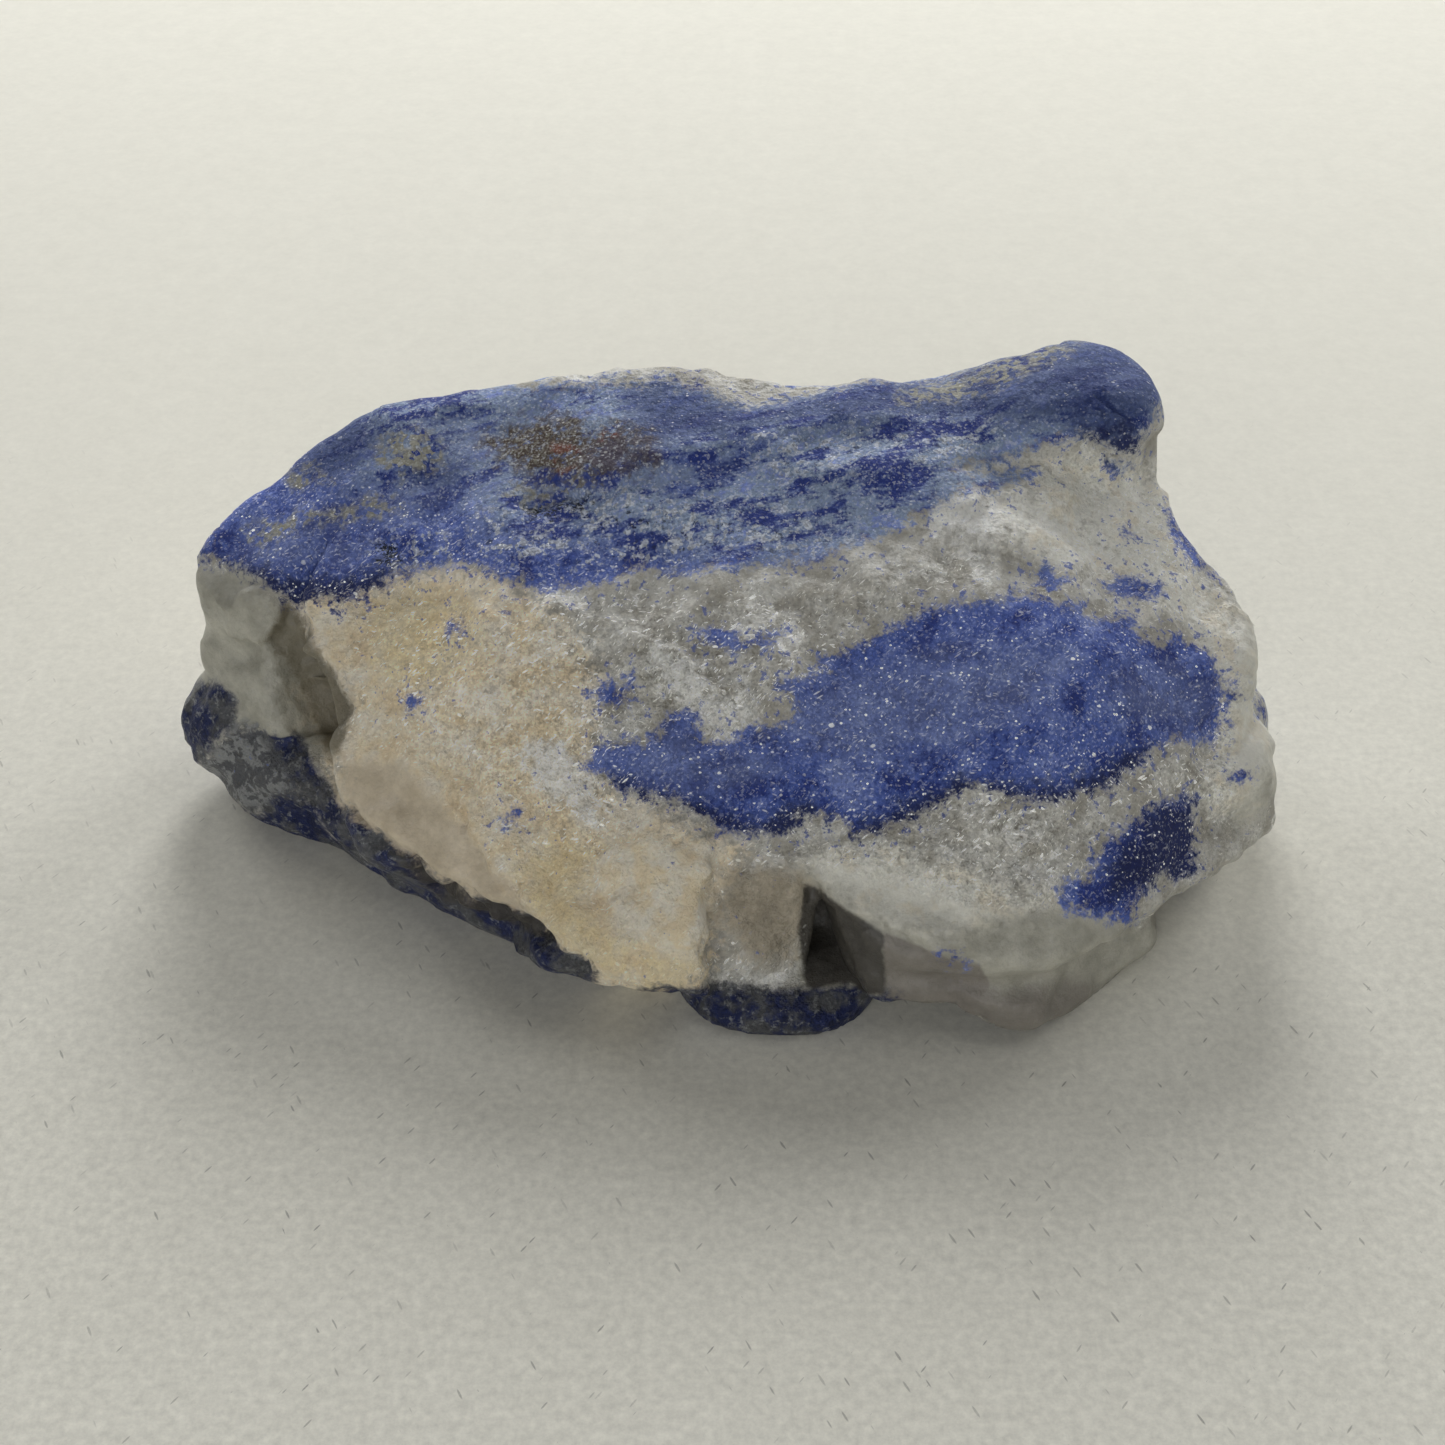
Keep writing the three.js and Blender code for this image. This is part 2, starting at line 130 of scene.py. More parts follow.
HOLLOWS = [
    ("back chip", 0.5, [
        ("floor", (6, 13.4, 22.2), -95, -46, 0.6, 0.3, 11),
        ("left", (-1.5, 14, 22.6), 180, -45, 0.5, 0.3, 9),
        ("right", (12, 14, 22.4), 0, -60, 0.5, 0, 0),
    ]),
    ("front hollow", 0.3, [
        ("floor", (2.6, -11.7, 8.3), 100, -12, 0.4, 0.2, 12),
        ("left", (-0.8, -12, 6.5), 172, -8, 0.4, 0, 0),
        ("right", (4.9, -12, 6.5), 10, 0, 0.3, 0.2, 12),
    ]),
    ("notch", 0.3, [
        ("floor", (7, -9.5, 4), 85, -8, 0.4, 0.3, 11),
        ("left", (4.5, -11, 5), -175, 10, 0.3, 0.2, 10),
        ("right", (5.4, -11.3, 6), 20, 18, 0.3, 0.2, 11),
    ]),
    ("crest left", 0.2, [
        ("face", (6.3, -13.2, 7.4), 60, 0, 0.3, 0.2, 16),
        ("left", (4.6, -12, 6), 180, 0, 0.3, 0, 0),
    ]),
    ("crest front", 0.2, [
        ("face", (11.1, -15, 5.9), 81, 0, 0.3, 0.2, 11),
        ("left", (4.6, -12, 6), 180, 0, 0.3, 0, 0),
    ]),
    ("lobe gap", 0.3, [
        ("roof", (8, -14, 2.4), 0, 90, 0.3, 0.3, 13),
        ("roof right", (10, -14, 2.7), 0, 73, 0.3, 0.2, 12),
        ("left", (4.6, -12, 2), 180, 0, 0.3, 0, 0),
        ("back", (9, -9.8, 2), 90, 0, 0.4, 0.3, 12),
    ]),
]
# Rounded lumps: name, centre, half-sizes, bearing of the long axis, squareness, softness
LUMPS = [
    ("horn root", (17.6, 12.4, 13), (4.6, 4.4, 8), 8, 3.0, 1.2),
    ("horn", (18.8, 12.3, HORN_Z - 3.8), (5.2, 4.3, 3.8), 8, 3.0, 1.4),
    ("knob", (-27.5, 5.5, 4.6), (3.5, 3.5, 3.5), 0, 2.2, 0.4),
    ("left knuckle", (-26.9, 8.4, 12.4), (2.4, 3.2, 2.0), 0, 2.4, 0.5),
    ("lower left knuckle", (-26.8, 8.6, 9.1), (2.4, 3.6, 2.0), 0, 2.4, 0.5),
    ("left foot", (-23.4, 3.8, 2.9), (6.2, 4.4, 3.5), -32, 2.6, 0.5),
    ("front foot", (3.1, -8.6, FOOT_Z - 1.8), (5.8, 6.6, 1.8), -4, 2.6, 0.4),
    ("foot strip", (-14.4, -3.4, 2.1), (13, 3.2, 2.3), -36, 2.8, 0.4),
    ("right bulge", (24.9, -2.1, 6.8), (5.2, 4.6, 4.0), 12, 2.6, 0.5),
    ("right back lump", (27.6, 4.6, 4.6), (4, 3.2, 3), 30, 2.4, 0.5),
]
# Ledges across the top: name, from, to, rise behind them, width of the riser, how far back they fade
LEDGES = [
    ("front ledge", (-9.5, 4.6), (11.5, 9.4), 0.4, 0.8, 9),
    ("left ledge", (-24, 6), (-6, 12.6), 0.3, 1.2, 6),
]
LEDGE_END = 3  # a ledge fades out over this length at each end
LEDGES_FROM, LEDGES_OVER = 12, 4  # the ledges rise above this height, and over this much more
GRAIN_TURN = np.array([[0.77, 0.57, -0.28], [-0.48, 0.81, 0.33], [0.42, -0.12, 0.9]])


def ease(t):
    """0 to 1 as t goes from 0 to 1, level at both ends."""
    t = np.clip(t, 0, 1)
    return t * t * (3 - 2 * t)


def direction(bearing, tilt):
    """The unit vector at that bearing and height in degrees."""
    b, t = math.radians(bearing), math.radians(tilt)
    return np.array([math.cos(b) * math.cos(t), math.sin(b) * math.cos(t), math.sin(t)])


def larger(a, b, k):
    """The larger of two distances, with the corner between them rounded by k."""
    if k == 0:
        return np.maximum(a, b)
    h = np.clip(0.5 + 0.5 * (a - b) / k, 0, 1)
    return b + (a - b) * h + k * h * (1 - h)


def smaller(a, b, k):
    return -larger(-a, -b, k)


def swell(p, number):
    """Slow swells of about -1 to 1: four sine waves, whose directions and phases follow from the number."""
    total = 0
    for i in range(4):
        a = number * 1.7 + i * 2.399
        along = p @ np.array([math.cos(a), 0.9 * math.sin(a), math.sin(1.31 * a + i)])
        total = total + np.sin(along * 2 * math.pi / SWELL * (1 + 0.23 * i) + number * 3.1 + i * 1.9)
    return total / 2.4


def block(p, faces):
    """The distance to the space behind all the faces."""
    far = None
    for _, at, bearing, tilt, rounding, height, number in faces:
        f = (p - np.array(at)) @ direction(bearing, tilt)
        if height:
            f = f + height * swell(p, number)
        far = f if far is None else larger(far, f, rounding)
    return far


def lump(p, centre, half, bearing, squareness):
    """The distance to a rounded lump: an egg at squareness 2, nearer a box above it."""
    q = p - np.array(centre)
    b = math.radians(bearing)
    local = np.stack([q[:, 0] * math.cos(b) + q[:, 1] * math.sin(b),
                      q[:, 1] * math.cos(b) - q[:, 0] * math.sin(b), q[:, 2]], -1)
    r = ((np.abs(local) / np.array(half)) ** squareness).sum(-1) ** (1 / squareness)
    return (r - 1) * min(half)


def ledge_rise(p):
    """How far the ledges raise the stone at each point; their edges waver."""
    up = 0
    for _, start, end, rise, width, back in LEDGES:
        length = math.hypot(end[0] - start[0], end[1] - start[1])
        dx, dy = (end[0] - start[0]) / length, (end[1] - start[1]) / length
        along = (p[:, 0] - start[0]) * dx + (p[:, 1] - start[1]) * dy
        behind = ((p[:, 1] - start[1]) * dx - (p[:, 0] - start[0]) * dy
                  + 0.35 * np.sin(along * 1.1) + 0.2 * np.sin(along * 2.9 + 1))
        up = up + (rise * ease(behind / width) * (1 - ease((behind - width) / back))
                   * ease(along / LEDGE_END) * ease((length - along) / LEDGE_END))
    return up * ease((p[:, 2] - LEDGES_FROM) / LEDGES_OVER)


def distance(place):
    """The stone's signed distance, with its underside cut level at the ground."""
    p = place - ledge_rise(place)[:, None] * np.array([0, 0, 1])
    f = None
    for _, softness, faces in BLOCKS:
        g = block(p, faces)
        f = g if f is None else smaller(f, g, softness)
    for _, softness, faces in HOLLOWS:
        f = larger(f, -block(p, faces), softness)
    for _, centre, half, bearing, squareness, softness in LUMPS:
        f = smaller(f, lump(p, centre, half, bearing, squareness), softness)
    return np.maximum(f, -place[:, 2])


def outward(p, step):
    """The slope of the distance, measured over a step each way."""
    return np.stack([(distance(p + d) - distance(p - d)) / (2 * step) for d in np.eye(3) * step], -1)


def scatter(cell, number):
    """Three even numbers of 0 to 1 for each cell, the same every time."""
    rows = np.array([[127.1, 311.7, 74.7], [269.5, 183.3, 246.1], [419.2, 371.9, 95.3]])
    h = np.sin(cell @ rows.T + number * 17.3) * 43758.5453
    return h - np.floor(h)


def grains(p, size, number, sharp):
    """Flat tilted grains with steep steps between them, about -1 to 1."""
    q = p @ GRAIN_TURN.T / size
    base = np.floor(q)
    reach, height = [], []
    for offset in np.ndindex(3, 3, 3):
        c = base + np.array(offset) - 1
        d = q - c - scatter(c, number)
        tilt = scatter(c, number + 5.1) * 2 - 1
        reach.append(np.sqrt((d * d).sum(-1)))
        height.append(1.1 * (d * tilt).sum(-1) + 0.25 * tilt.sum(-1))
    reach, height = np.array(reach), np.array(height)
    w = np.exp(-sharp * (reach - reach.min(0)))
    return (w * height).sum(0) / w.sum(0)


# ---- The fine mesh: one point in each cell that the surface crosses, joined by four-sided patches
MOST_ROUNDS = 20  # filling one pinch can make another
JUST_INSIDE = -0.01 * CELL  # the distance given to a filled corner


def sample_near_surface():
    """The distance at every corner of the fine grid: exact near the surface, rough elsewhere."""
    count = np.ceil((HIGH - LOW) / CELL).astype(int) + 1
    every = 5  # the rough grid takes every fifth corner
    rough_count = (count + every - 1) // every + 1
    rough_at = np.stack(np.meshgrid(*[np.arange(n) * every for n in rough_count], indexing="ij"), -1)
    rough = distance((LOW + rough_at * CELL).reshape(-1, 3)).reshape(rough_count)
    nearest = [np.minimum(np.round(np.arange(n) / every).astype(int), r - 1)
               for n, r in zip(count, rough_count)]
    f = rough[np.ix_(*nearest)]
    near = np.argwhere(np.abs(f) < CELL * every)
    f[tuple(near.T)] = distance(LOW + near * CELL)
    return f


def fill_pinches(f):
    """Fills corners that touch the stone only across a square's diagonal."""
    for _ in range(MOST_ROUNDS):
        inside = f < 0
        bad = np.zeros(f.shape, bool)
        for u, v in ((0, 1), (0, 2), (1, 2)):
            m, w = np.moveaxis(inside, (u, v), (0, 1)), np.moveaxis(bad, (u, v), (0, 1))
            a, b, c, d = m[:-1, :-1], m[1:, :-1], m[1:, 1:], m[:-1, 1:]
            crossed = (a & c & ~b & ~d) | (b & d & ~a & ~c)
            for part in (w[:-1, :-1], w[1:, :-1], w[1:, 1:], w[:-1, 1:]):
                part |= crossed
        if not bad.any():
            return
        f[bad & ~inside] = JUST_INSIDE


def surface(f):
    """The mesh where the distance is nought: a point for each crossed cell, a quad for each crossed edge."""
    total, count, edges = np.zeros(f.shape + (3,)), np.zeros(f.shape), []
    for axis in range(3):
        a = f[tuple(slice(None, -1) if i == axis else slice(None) for i in range(3))]
        b = f[tuple(slice(1, None) if i == axis else slice(None) for i in range(3))]
        at = np.argwhere((a < 0) != (b < 0))
        fa, fb = a[tuple(at.T)], b[tuple(at.T)]
        crossing = at.astype(float)
        crossing[:, axis] += fa / (fa - fb)
        u, v = (axis + 1) % 3, (axis + 2) % 3
        ring = []
        for du, dv in ((0, 0), (-1, 0), (-1, -1), (0, -1)):
            cell = at.copy()
            cell[:, u] += du
            cell[:, v] += dv
            np.add.at(total, tuple(cell.T), crossing)
            np.add.at(count, tuple(cell.T), 1)
            ring.append(cell)
        edges.append((ring, fa < 0))
    cells = np.argwhere(count > 0)
    index = np.full(f.shape, -1)
    index[tuple(cells.T)] = np.arange(len(cells))
    points = LOW + CELL * total[tuple(cells.T)] / count[tuple(cells.T)][:, None]
    quads = []
    for ring, first_inside in edges:
        quad = np.stack([index[tuple(cell.T)] for cell in ring], 1)
        quads.append(np.where(first_inside[:, None], quad, quad[:, ::-1]))
    return points, np.concatenate(quads)


def settle(p):
    """Brings the points onto the stone's face, and gives the directions that they face."""
    for _ in range(2):
        slope = outward(p, CELL * 0.3)
        step = distance(p) / np.maximum((slope * slope).sum(-1), 0.25)
        p = p - slope * np.clip(step, -CELL / 2, CELL / 2)[:, None]
    slope = outward(p, CELL * 0.8)
    return p, slope / np.maximum(np.linalg.norm(slope, axis=-1), 1e-6)[:, None]


# ---- The camera, and the picture plane in which the zones below are drawn: 1445 units wide
FRAME_WIDTH = 1445
LENS, SENSOR = 60, 36
AIM = np.array([0, 0, 9])
CAMERA_HEIGHT, CAMERA_AWAY = 40, 132  # degrees above the floor, and millimetres
UNITS = LENS / SENSOR * FRAME_WIDTH / CAMERA_AWAY  # picture units to a millimetre

raised = math.radians(CAMERA_HEIGHT)
TO_CAMERA = np.array([0, -math.cos(raised), math.sin(raised)])
PICTURE_UP = np.array([0, math.sin(raised), math.cos(raised)])
CAMERA_AT = AIM + TO_CAMERA * CAMERA_AWAY


def picture(p):
    """Where the camera sees each point, in picture units from the upper left."""
    q = p - CAMERA_AT
    scale = LENS / SENSOR * FRAME_WIDTH / -(q @ TO_CAMERA)
    return np.stack([FRAME_WIDTH / 2 + q[:, 0] * scale, FRAME_WIDTH / 2 - (q @ PICTURE_UP) * scale], -1)


def line_distance(xy, line):
    """Each point's distance from a line, its side (1 is left), its place along it, and the line's length.

    The line is in picture units and the lengths are in millimetres.
    """
    pts = np.array(line, float)
    lengths = np.linalg.norm(pts[1:] - pts[:-1], axis=1)
    best, side, along = np.full(len(xy), 1e9), np.zeros(len(xy)), np.zeros(len(xy))
    for n, (a, b) in enumerate(zip(pts[:-1], pts[1:])):
        ab, ap = b - a, xy - a
        t = np.clip((ap @ ab) / (ab @ ab), 0, 1)
        d = np.linalg.norm(ap - t[:, None] * ab, axis=1)
        nearer = d < best
        best = np.where(nearer, d, best)
        side = np.where(nearer, np.where(ab[0] * ap[:, 1] - ab[1] * ap[:, 0] < 0, 1, -1), side)
        along = np.where(nearer, lengths[:n].sum() + t * lengths[n], along)
    return best / UNITS, side, along / UNITS, lengths.sum() / UNITS


def zone_depth(xy, outline):
    """How deep inside a closed outline each point lies, in millimetres; negative outside."""
    pts = np.array(outline, float)
    inside = np.zeros(len(xy), bool)
    for a, b in zip(pts, np.roll(pts, -1, 0)):
        crosses = (a[1] > xy[:, 1]) != (b[1] > xy[:, 1])
        at = a[0] + (xy[:, 1] - a[1]) * (b[0] - a[0]) / (b[1] - a[1] if b[1] != a[1] else 1e-9)
        inside ^= crosses & (xy[:, 0] < at)
    d = line_distance(xy, outline + outline[:1])[0]
    return np.where(inside, d, -d)


def zones_depth(xy, outlines):
    """The depth in the nearest of several outlines."""
    return np.max([zone_depth(xy, outline) for outline in outlines], axis=0)


# Where the blue lies
BLUE_ZONES = [
    # the band across the top
    [(200, 560), (213, 530), (322, 425), (460, 375), (560, 384), (700, 384), (722, 398), (745, 408),
     (800, 392), (940, 372), (1060, 335), (1110, 335), (1158, 370), (1160, 400), (1140, 431), (1133, 455),
     (1103, 446), (1083, 435), (1049, 442), (1022, 452), (988, 462), (954, 466), (971, 474), (1022, 471),
     (1039, 474), (1022, 480), (988, 490), (954, 497), (931, 507), (907, 523), (887, 536), (839, 553),
     (819, 562), (751, 564), (701, 573), (644, 570), (598, 586), (545, 589), (512, 582), (492, 573),
     (452, 563), (406, 573), (379, 590), (352, 603), (323, 602), (293, 606), (270, 586), (246, 573),
     (213, 562)],
    # the large patch in front
    [(586, 767), (596, 748), (625, 742), (646, 741), (656, 729), (662, 716), (671, 712), (694, 713),
     (703, 736), (714, 744), (735, 744), (742, 728), (788, 720), (793, 708), (789, 694), (776, 682),
     (792, 678), (812, 674), (826, 668), (815, 657), (850, 646), (872, 638), (900, 624), (933, 606),
     (950, 602), (1006, 600), (1012, 590), (1036, 592), (1050, 600), (1083, 606), (1090, 622), (1110, 618),
     (1128, 615), (1132, 628), (1152, 642), (1180, 638), (1205, 652), (1220, 676), (1224, 712), (1214, 744),
     (1185, 740), (1160, 744), (1140, 762), (1104, 792), (1060, 800), (1020, 802), (992, 790), (965, 784),
     (945, 800), (914, 818), (880, 832), (853, 838), (838, 824), (800, 812), (796, 826), (770, 836),
     (724, 832), (700, 814), (672, 800), (650, 796), (625, 790), (606, 778)],
    # the small patch below it
    [(1148, 806), (1168, 796), (1190, 797), (1192, 872), (1176, 884), (1160, 874), (1140, 900), (1132, 922),
     (1108, 918), (1072, 908), (1060, 896), (1066, 882), (1094, 874), (1102, 846), (1122, 826)],
    # specks around them
    [(1040, 566), (1052, 562), (1062, 580), (1048, 594), (1038, 582)],
    [(1108, 582), (1130, 578), (1160, 586), (1162, 598), (1140, 604), (1118, 598)],
    [(1162, 512), (1182, 520), (1202, 548), (1217, 574), (1210, 580), (1190, 560), (1172, 536)],
    [(1122, 536), (1126, 532), (1131, 536), (1126, 541)],
    [(940, 952), (956, 952), (966, 962), (950, 960)],
    [(1107, 462), (1126, 458), (1132, 466), (1114, 472)],
    [(594, 690), (612, 682), (622, 690), (634, 680), (628, 704), (606, 706)],
    [(700, 634), (724, 626), (745, 636), (782, 632), (776, 646), (740, 650), (712, 646)],
    [(506, 812), (520, 806), (518, 822), (508, 824)],
    [(446, 618), (462, 618), (460, 630), (448, 632)],
    [(408, 696), (420, 696), (420, 706), (408, 706)],
    [(1224, 690), (1232, 684), (1236, 696), (1226, 700)],
    [(1232, 768), (1252, 772), (1248, 780), (1230, 778)],
    [(1254, 690), (1268, 700), (1270, 724), (1258, 716)],
]
# The blue-grey layer along the ground: the knob, the foot strip and the front foot
LAYER_ZONES = [
    [(150, 770), (150, 690), (190, 680), (226, 684), (238, 700), (230, 726), (210, 748), (198, 772),
     (176, 780)],
    [(180, 770), (204, 780), (236, 806), (262, 812), (276, 794), (300, 790), (320, 810), (330, 836),
     (374, 866), (400, 886), (380, 930), (300, 880), (200, 850)],
    [(262, 724), (300, 736), (320, 770), (343, 806), (374, 833), (416, 872), (460, 897), (510, 911),
     (539, 927), (564, 950), (598, 974), (560, 1000), (500, 995), (420, 950), (370, 900), (330, 840),
     (300, 792), (276, 750)],
    [(640, 986), (720, 984), (790, 990), (812, 986), (850, 984), (900, 994), (900, 1060), (720, 1060),
     (640, 1020)],
]
# The other zones, by the name of the mesh attribute that holds each one's depth
ZONES = {
    # navy lower edges of the blue, and painted shade in the crease under the horn's cap
    "rim": [
        [(612, 776), (650, 792), (700, 806), (760, 826), (800, 800), (850, 826), (900, 808), (960, 782),
         (1060, 790), (1130, 752), (1150, 750), (1100, 800), (1000, 806), (900, 836), (850, 845), (780, 842),
         (700, 822), (640, 802)],
        [(1150, 806), (1194, 800), (1194, 880), (1100, 900), (1120, 850)],
        [(205, 560), (246, 566), (290, 580), (350, 580), (395, 572), (380, 595), (330, 610), (285, 612),
         (240, 580)],
        [(1086, 431), (1104, 435), (1120, 430), (1138, 436), (1141, 457), (1122, 458), (1100, 450)]],
    # the cream quartz of the left corner
    "cream": [
        [(290, 600), (340, 595), (400, 575), (460, 562), (520, 590), (560, 620), (600, 680), (590, 760),
         (620, 800), (700, 830), (740, 850), (720, 900), (700, 1000), (620, 1000), (500, 960), (340, 860),
         (330, 760), (345, 690)]],
    # yellow stains in the cream
    "yellow": [
        [(360, 600), (410, 586), (470, 600), (480, 640), (440, 680), (390, 690), (372, 650)],
        [(560, 830), (600, 850), (585, 900), (640, 960), (600, 970), (540, 920), (520, 870)],
        [(640, 950), (700, 960), (690, 992), (640, 994)]],
    # milky quartz of the right end and the lobe
    "milky": [
        [(1036, 462), (1100, 452), (1150, 470), (1200, 560), (1220, 600), (1250, 630), (1262, 690),
         (1240, 704), (1216, 690), (1196, 646), (1176, 620), (1126, 606), (1104, 560), (1070, 520),
         (1030, 500)],
        [(806, 852), (850, 846), (900, 852), (1000, 890), (1060, 900), (1010, 908), (960, 930), (900, 930),
         (846, 900), (812, 876)],
        [(1006, 500), (1060, 480), (1110, 545), (1112, 580), (1060, 572), (1010, 540)],
        [(1198, 700), (1226, 690), (1262, 690), (1280, 760), (1250, 810), (1200, 800), (1210, 740)]],
    # the grey lump over the knob
    "slate": [
        [(196, 772), (212, 748), (232, 726), (262, 720), (290, 740), (306, 770), (300, 800), (262, 812),
         (226, 800)]],
    # clumps of white crystals
    "pale": [
        [(645, 640), (668, 646), (694, 664), (712, 688), (752, 694), (758, 716), (736, 734), (712, 740),
         (694, 716), (663, 690)],
        [(520, 735), (560, 745), (600, 780), (600, 830), (560, 800), (530, 770)],
        [(930, 500), (1040, 490), (1110, 540), (1120, 580), (1060, 560), (1000, 530), (930, 530)]],
    # rust on the top, with its purple side and red spots
    "rust": [
        [(486, 440), (510, 424), (560, 420), (612, 428), (650, 440), (655, 462), (600, 474), (556, 480),
         (530, 474), (500, 462)]],
    "purple": [
        [(592, 446), (612, 440), (650, 444), (662, 456), (640, 470), (604, 472), (586, 462)]],
    "red": [
        [(554, 448), (572, 446), (574, 454), (558, 457)],
        [(600, 434), (612, 430), (614, 436), (602, 440)],
        [(556, 475), (574, 470), (574, 476), (560, 480)]],
    # paler, hazy blue
    "haze": [
        [(236, 530), (330, 505), (440, 480), (500, 470), (520, 478), (470, 505), (400, 530), (300, 545),
         (250, 545)],
        [(430, 420), (480, 410), (500, 430), (490, 470), (450, 474), (440, 450)],
        [(520, 480), (620, 470), (740, 452), (760, 462), (640, 490), (540, 500)],
        [(760, 690), (860, 660), (1000, 640), (1080, 650), (1060, 700), (960, 750), (850, 770), (780, 750),
         (740, 745)],
        [(596, 752), (640, 742), (664, 720), (700, 716), (712, 742), (770, 745), (780, 780), (720, 800),
         (650, 788), (600, 774)],
        [(1100, 670), (1180, 660), (1214, 680), (1214, 730), (1150, 736), (1100, 710)],
        [(230, 560), (275, 530), (380, 535), (385, 560), (340, 574), (265, 574)]],
    # tan and olive grains on the top
    "tan": [
        [(380, 462), (392, 440), (425, 434), (440, 446), (434, 466), (400, 476)],
        [(252, 540), (290, 522), (330, 510), (390, 500), (400, 508), (340, 522), (290, 536), (262, 546)],
        [(296, 480), (322, 472), (330, 482), (300, 488)],
        [(900, 396), (930, 384), (965, 378), (968, 392), (940, 402), (906, 410)],
        [(500, 500), (520, 486), (560, 480), (620, 472), (580, 486), (530, 500)],
        [(966, 376), (1000, 362), (1050, 348), (1080, 345), (1040, 366), (1000, 380), (970, 390)]],
    # white grains in the blue of the top
    "flecked": [
        [(470, 540), (500, 515), (560, 500), (620, 490), (680, 500), (760, 500), (850, 540), (820, 556),
         (700, 562), (620, 566), (540, 566), (490, 560)],
        [(380, 546), (430, 536), (470, 560), (440, 575), (390, 570)],
        [(760, 440), (900, 430), (1000, 430), (960, 462), (880, 470), (780, 480)]],
    # dark pits on the top, painted with shade
    "pits": [
        [(378, 548), (398, 546), (402, 560), (384, 566)],
        [(530, 506), (560, 498), (590, 492), (588, 502), (556, 516), (536, 514)]],
    # olive faces beside the cream corner: partly their own olive and partly painted shade, as they face away
    # from the light
    "olive": [
        [(284, 600), (298, 612), (322, 660), (346, 700), (346, 740), (330, 760), (308, 700), (276, 650),
         (264, 640)]],
    # brown faces: in the left hollow and on the front facet
    "brown": [
        [(300, 690), (330, 676), (350, 700), (346, 730), (326, 740), (306, 722)],
        [(724, 876), (770, 862), (806, 874), (812, 890), (806, 930), (790, 958), (748, 962), (722, 920)]],
    # painted shade: the dark side of the notch, and the crack under the cream
    "dark": [
        [(804, 882), (816, 890), (848, 910), (878, 929), (884, 933), (885, 994), (863, 992), (848, 984),
         (806, 990), (798, 930)],
        [(392, 862), (430, 880), (470, 902), (510, 914), (545, 930), (562, 944), (540, 938), (500, 924),
         (460, 907), (420, 886)]],
    # smooth, waxy broken faces
    "waxy": [
        [(180, 570), (250, 570), (295, 610), (335, 690), (345, 760), (300, 760), (180, 700)],
        [(340, 760), (400, 760), (460, 820), (520, 900), (560, 960), (480, 950), (340, 850)],
        [(800, 866), (850, 870), (930, 896), (1000, 915), (1060, 906), (1140, 926), (1190, 890), (1230, 960),
         (1100, 1030), (960, 1060), (800, 1000)],
        [(1236, 600), (1262, 640), (1300, 780), (1240, 830), (1236, 760)]],
    # coarse, sugary quartz
    "sugary": [
        [(380, 640), (450, 600), (520, 600), (600, 590), (700, 600), (800, 590), (900, 560), (960, 530),
         (1010, 556), (930, 600), (840, 640), (790, 680), (740, 740), (660, 730), (640, 760), (600, 860),
         (560, 850), (500, 800), (440, 770), (400, 720)],
        [(850, 840), (960, 792), (1060, 804), (1120, 800), (1095, 870), (1050, 900), (1000, 905),
         (930, 880)],
        [(1100, 770), (1140, 745), (1200, 745), (1226, 700), (1240, 760), (1230, 820), (1200, 795),
         (1140, 805), (1110, 795)]],
    # the lobe's steep facet: umber, partly its own brown and partly painted shade
    "umber": [
        [(883, 931), (925, 948), (951, 956), (980, 964), (990, 985), (960, 1030), (884, 1020)]],
    # the lobe's tip: umber, partly its own brown and partly painted shade
    "tip": [
        [(950, 975), (1000, 990), (1040, 985), (1090, 980), (1110, 1010), (1000, 1050), (930, 1040)]],
    # smooth cream lumps
    "lump": [
        [(596, 862), (640, 846), (700, 862), (716, 890), (706, 930), (690, 956), (650, 940), (616, 910)],
        [(296, 606), (340, 600), (350, 640), (344, 690), (320, 660)]],
    # smooth dark blue at the back and on the horn
    "deep": [
        [(620, 385), (700, 388), (745, 410), (800, 396), (940, 378), (1060, 345), (1110, 340), (1158, 372),
         (1158, 400), (1140, 431), (1100, 440), (1060, 420), (1000, 420), (900, 420), (800, 425), (720, 440),
         (640, 445)],
        [(300, 470), (330, 430), (370, 420), (384, 440), (360, 470), (330, 486)],
        [(405, 470), (430, 462), (456, 470), (450, 482), (420, 480)]],
}
# Edges: a line, raised on its left; the rise, the width of the edge, and how far the rise reaches
STEPS = [
    ([(440, 790), (476, 849), (498, 878), (524, 904), (554, 930), (587, 952), (624, 985)], 0.55, 0.35, 4.0),
    ([(925, 908), (966, 920), (992, 926), (1010, 923), (1025, 914), (1064, 906)], 0.35, 0.35, 2.5),
    ([(789, 862), (816, 890), (848, 910), (878, 929), (925, 948), (978, 964)], 0.40, 0.25, 3.0),
    ([(1196, 800), (1206, 740), (1222, 690), (1198, 640)], 0.40, 0.50, 2.5),
    ([(306, 748), (290, 712), (276, 680), (262, 648)], 0.50, 0.35, 3.5),
    ([(1000, 500), (1040, 505), (1075, 520), (1100, 545), (1108, 580)], 0.25, 0.50, 2.0),
    ([(540, 488), (600, 478), (660, 468), (730, 452), (830, 432), (960, 420)], 0.25, 0.40, 2.5),
]
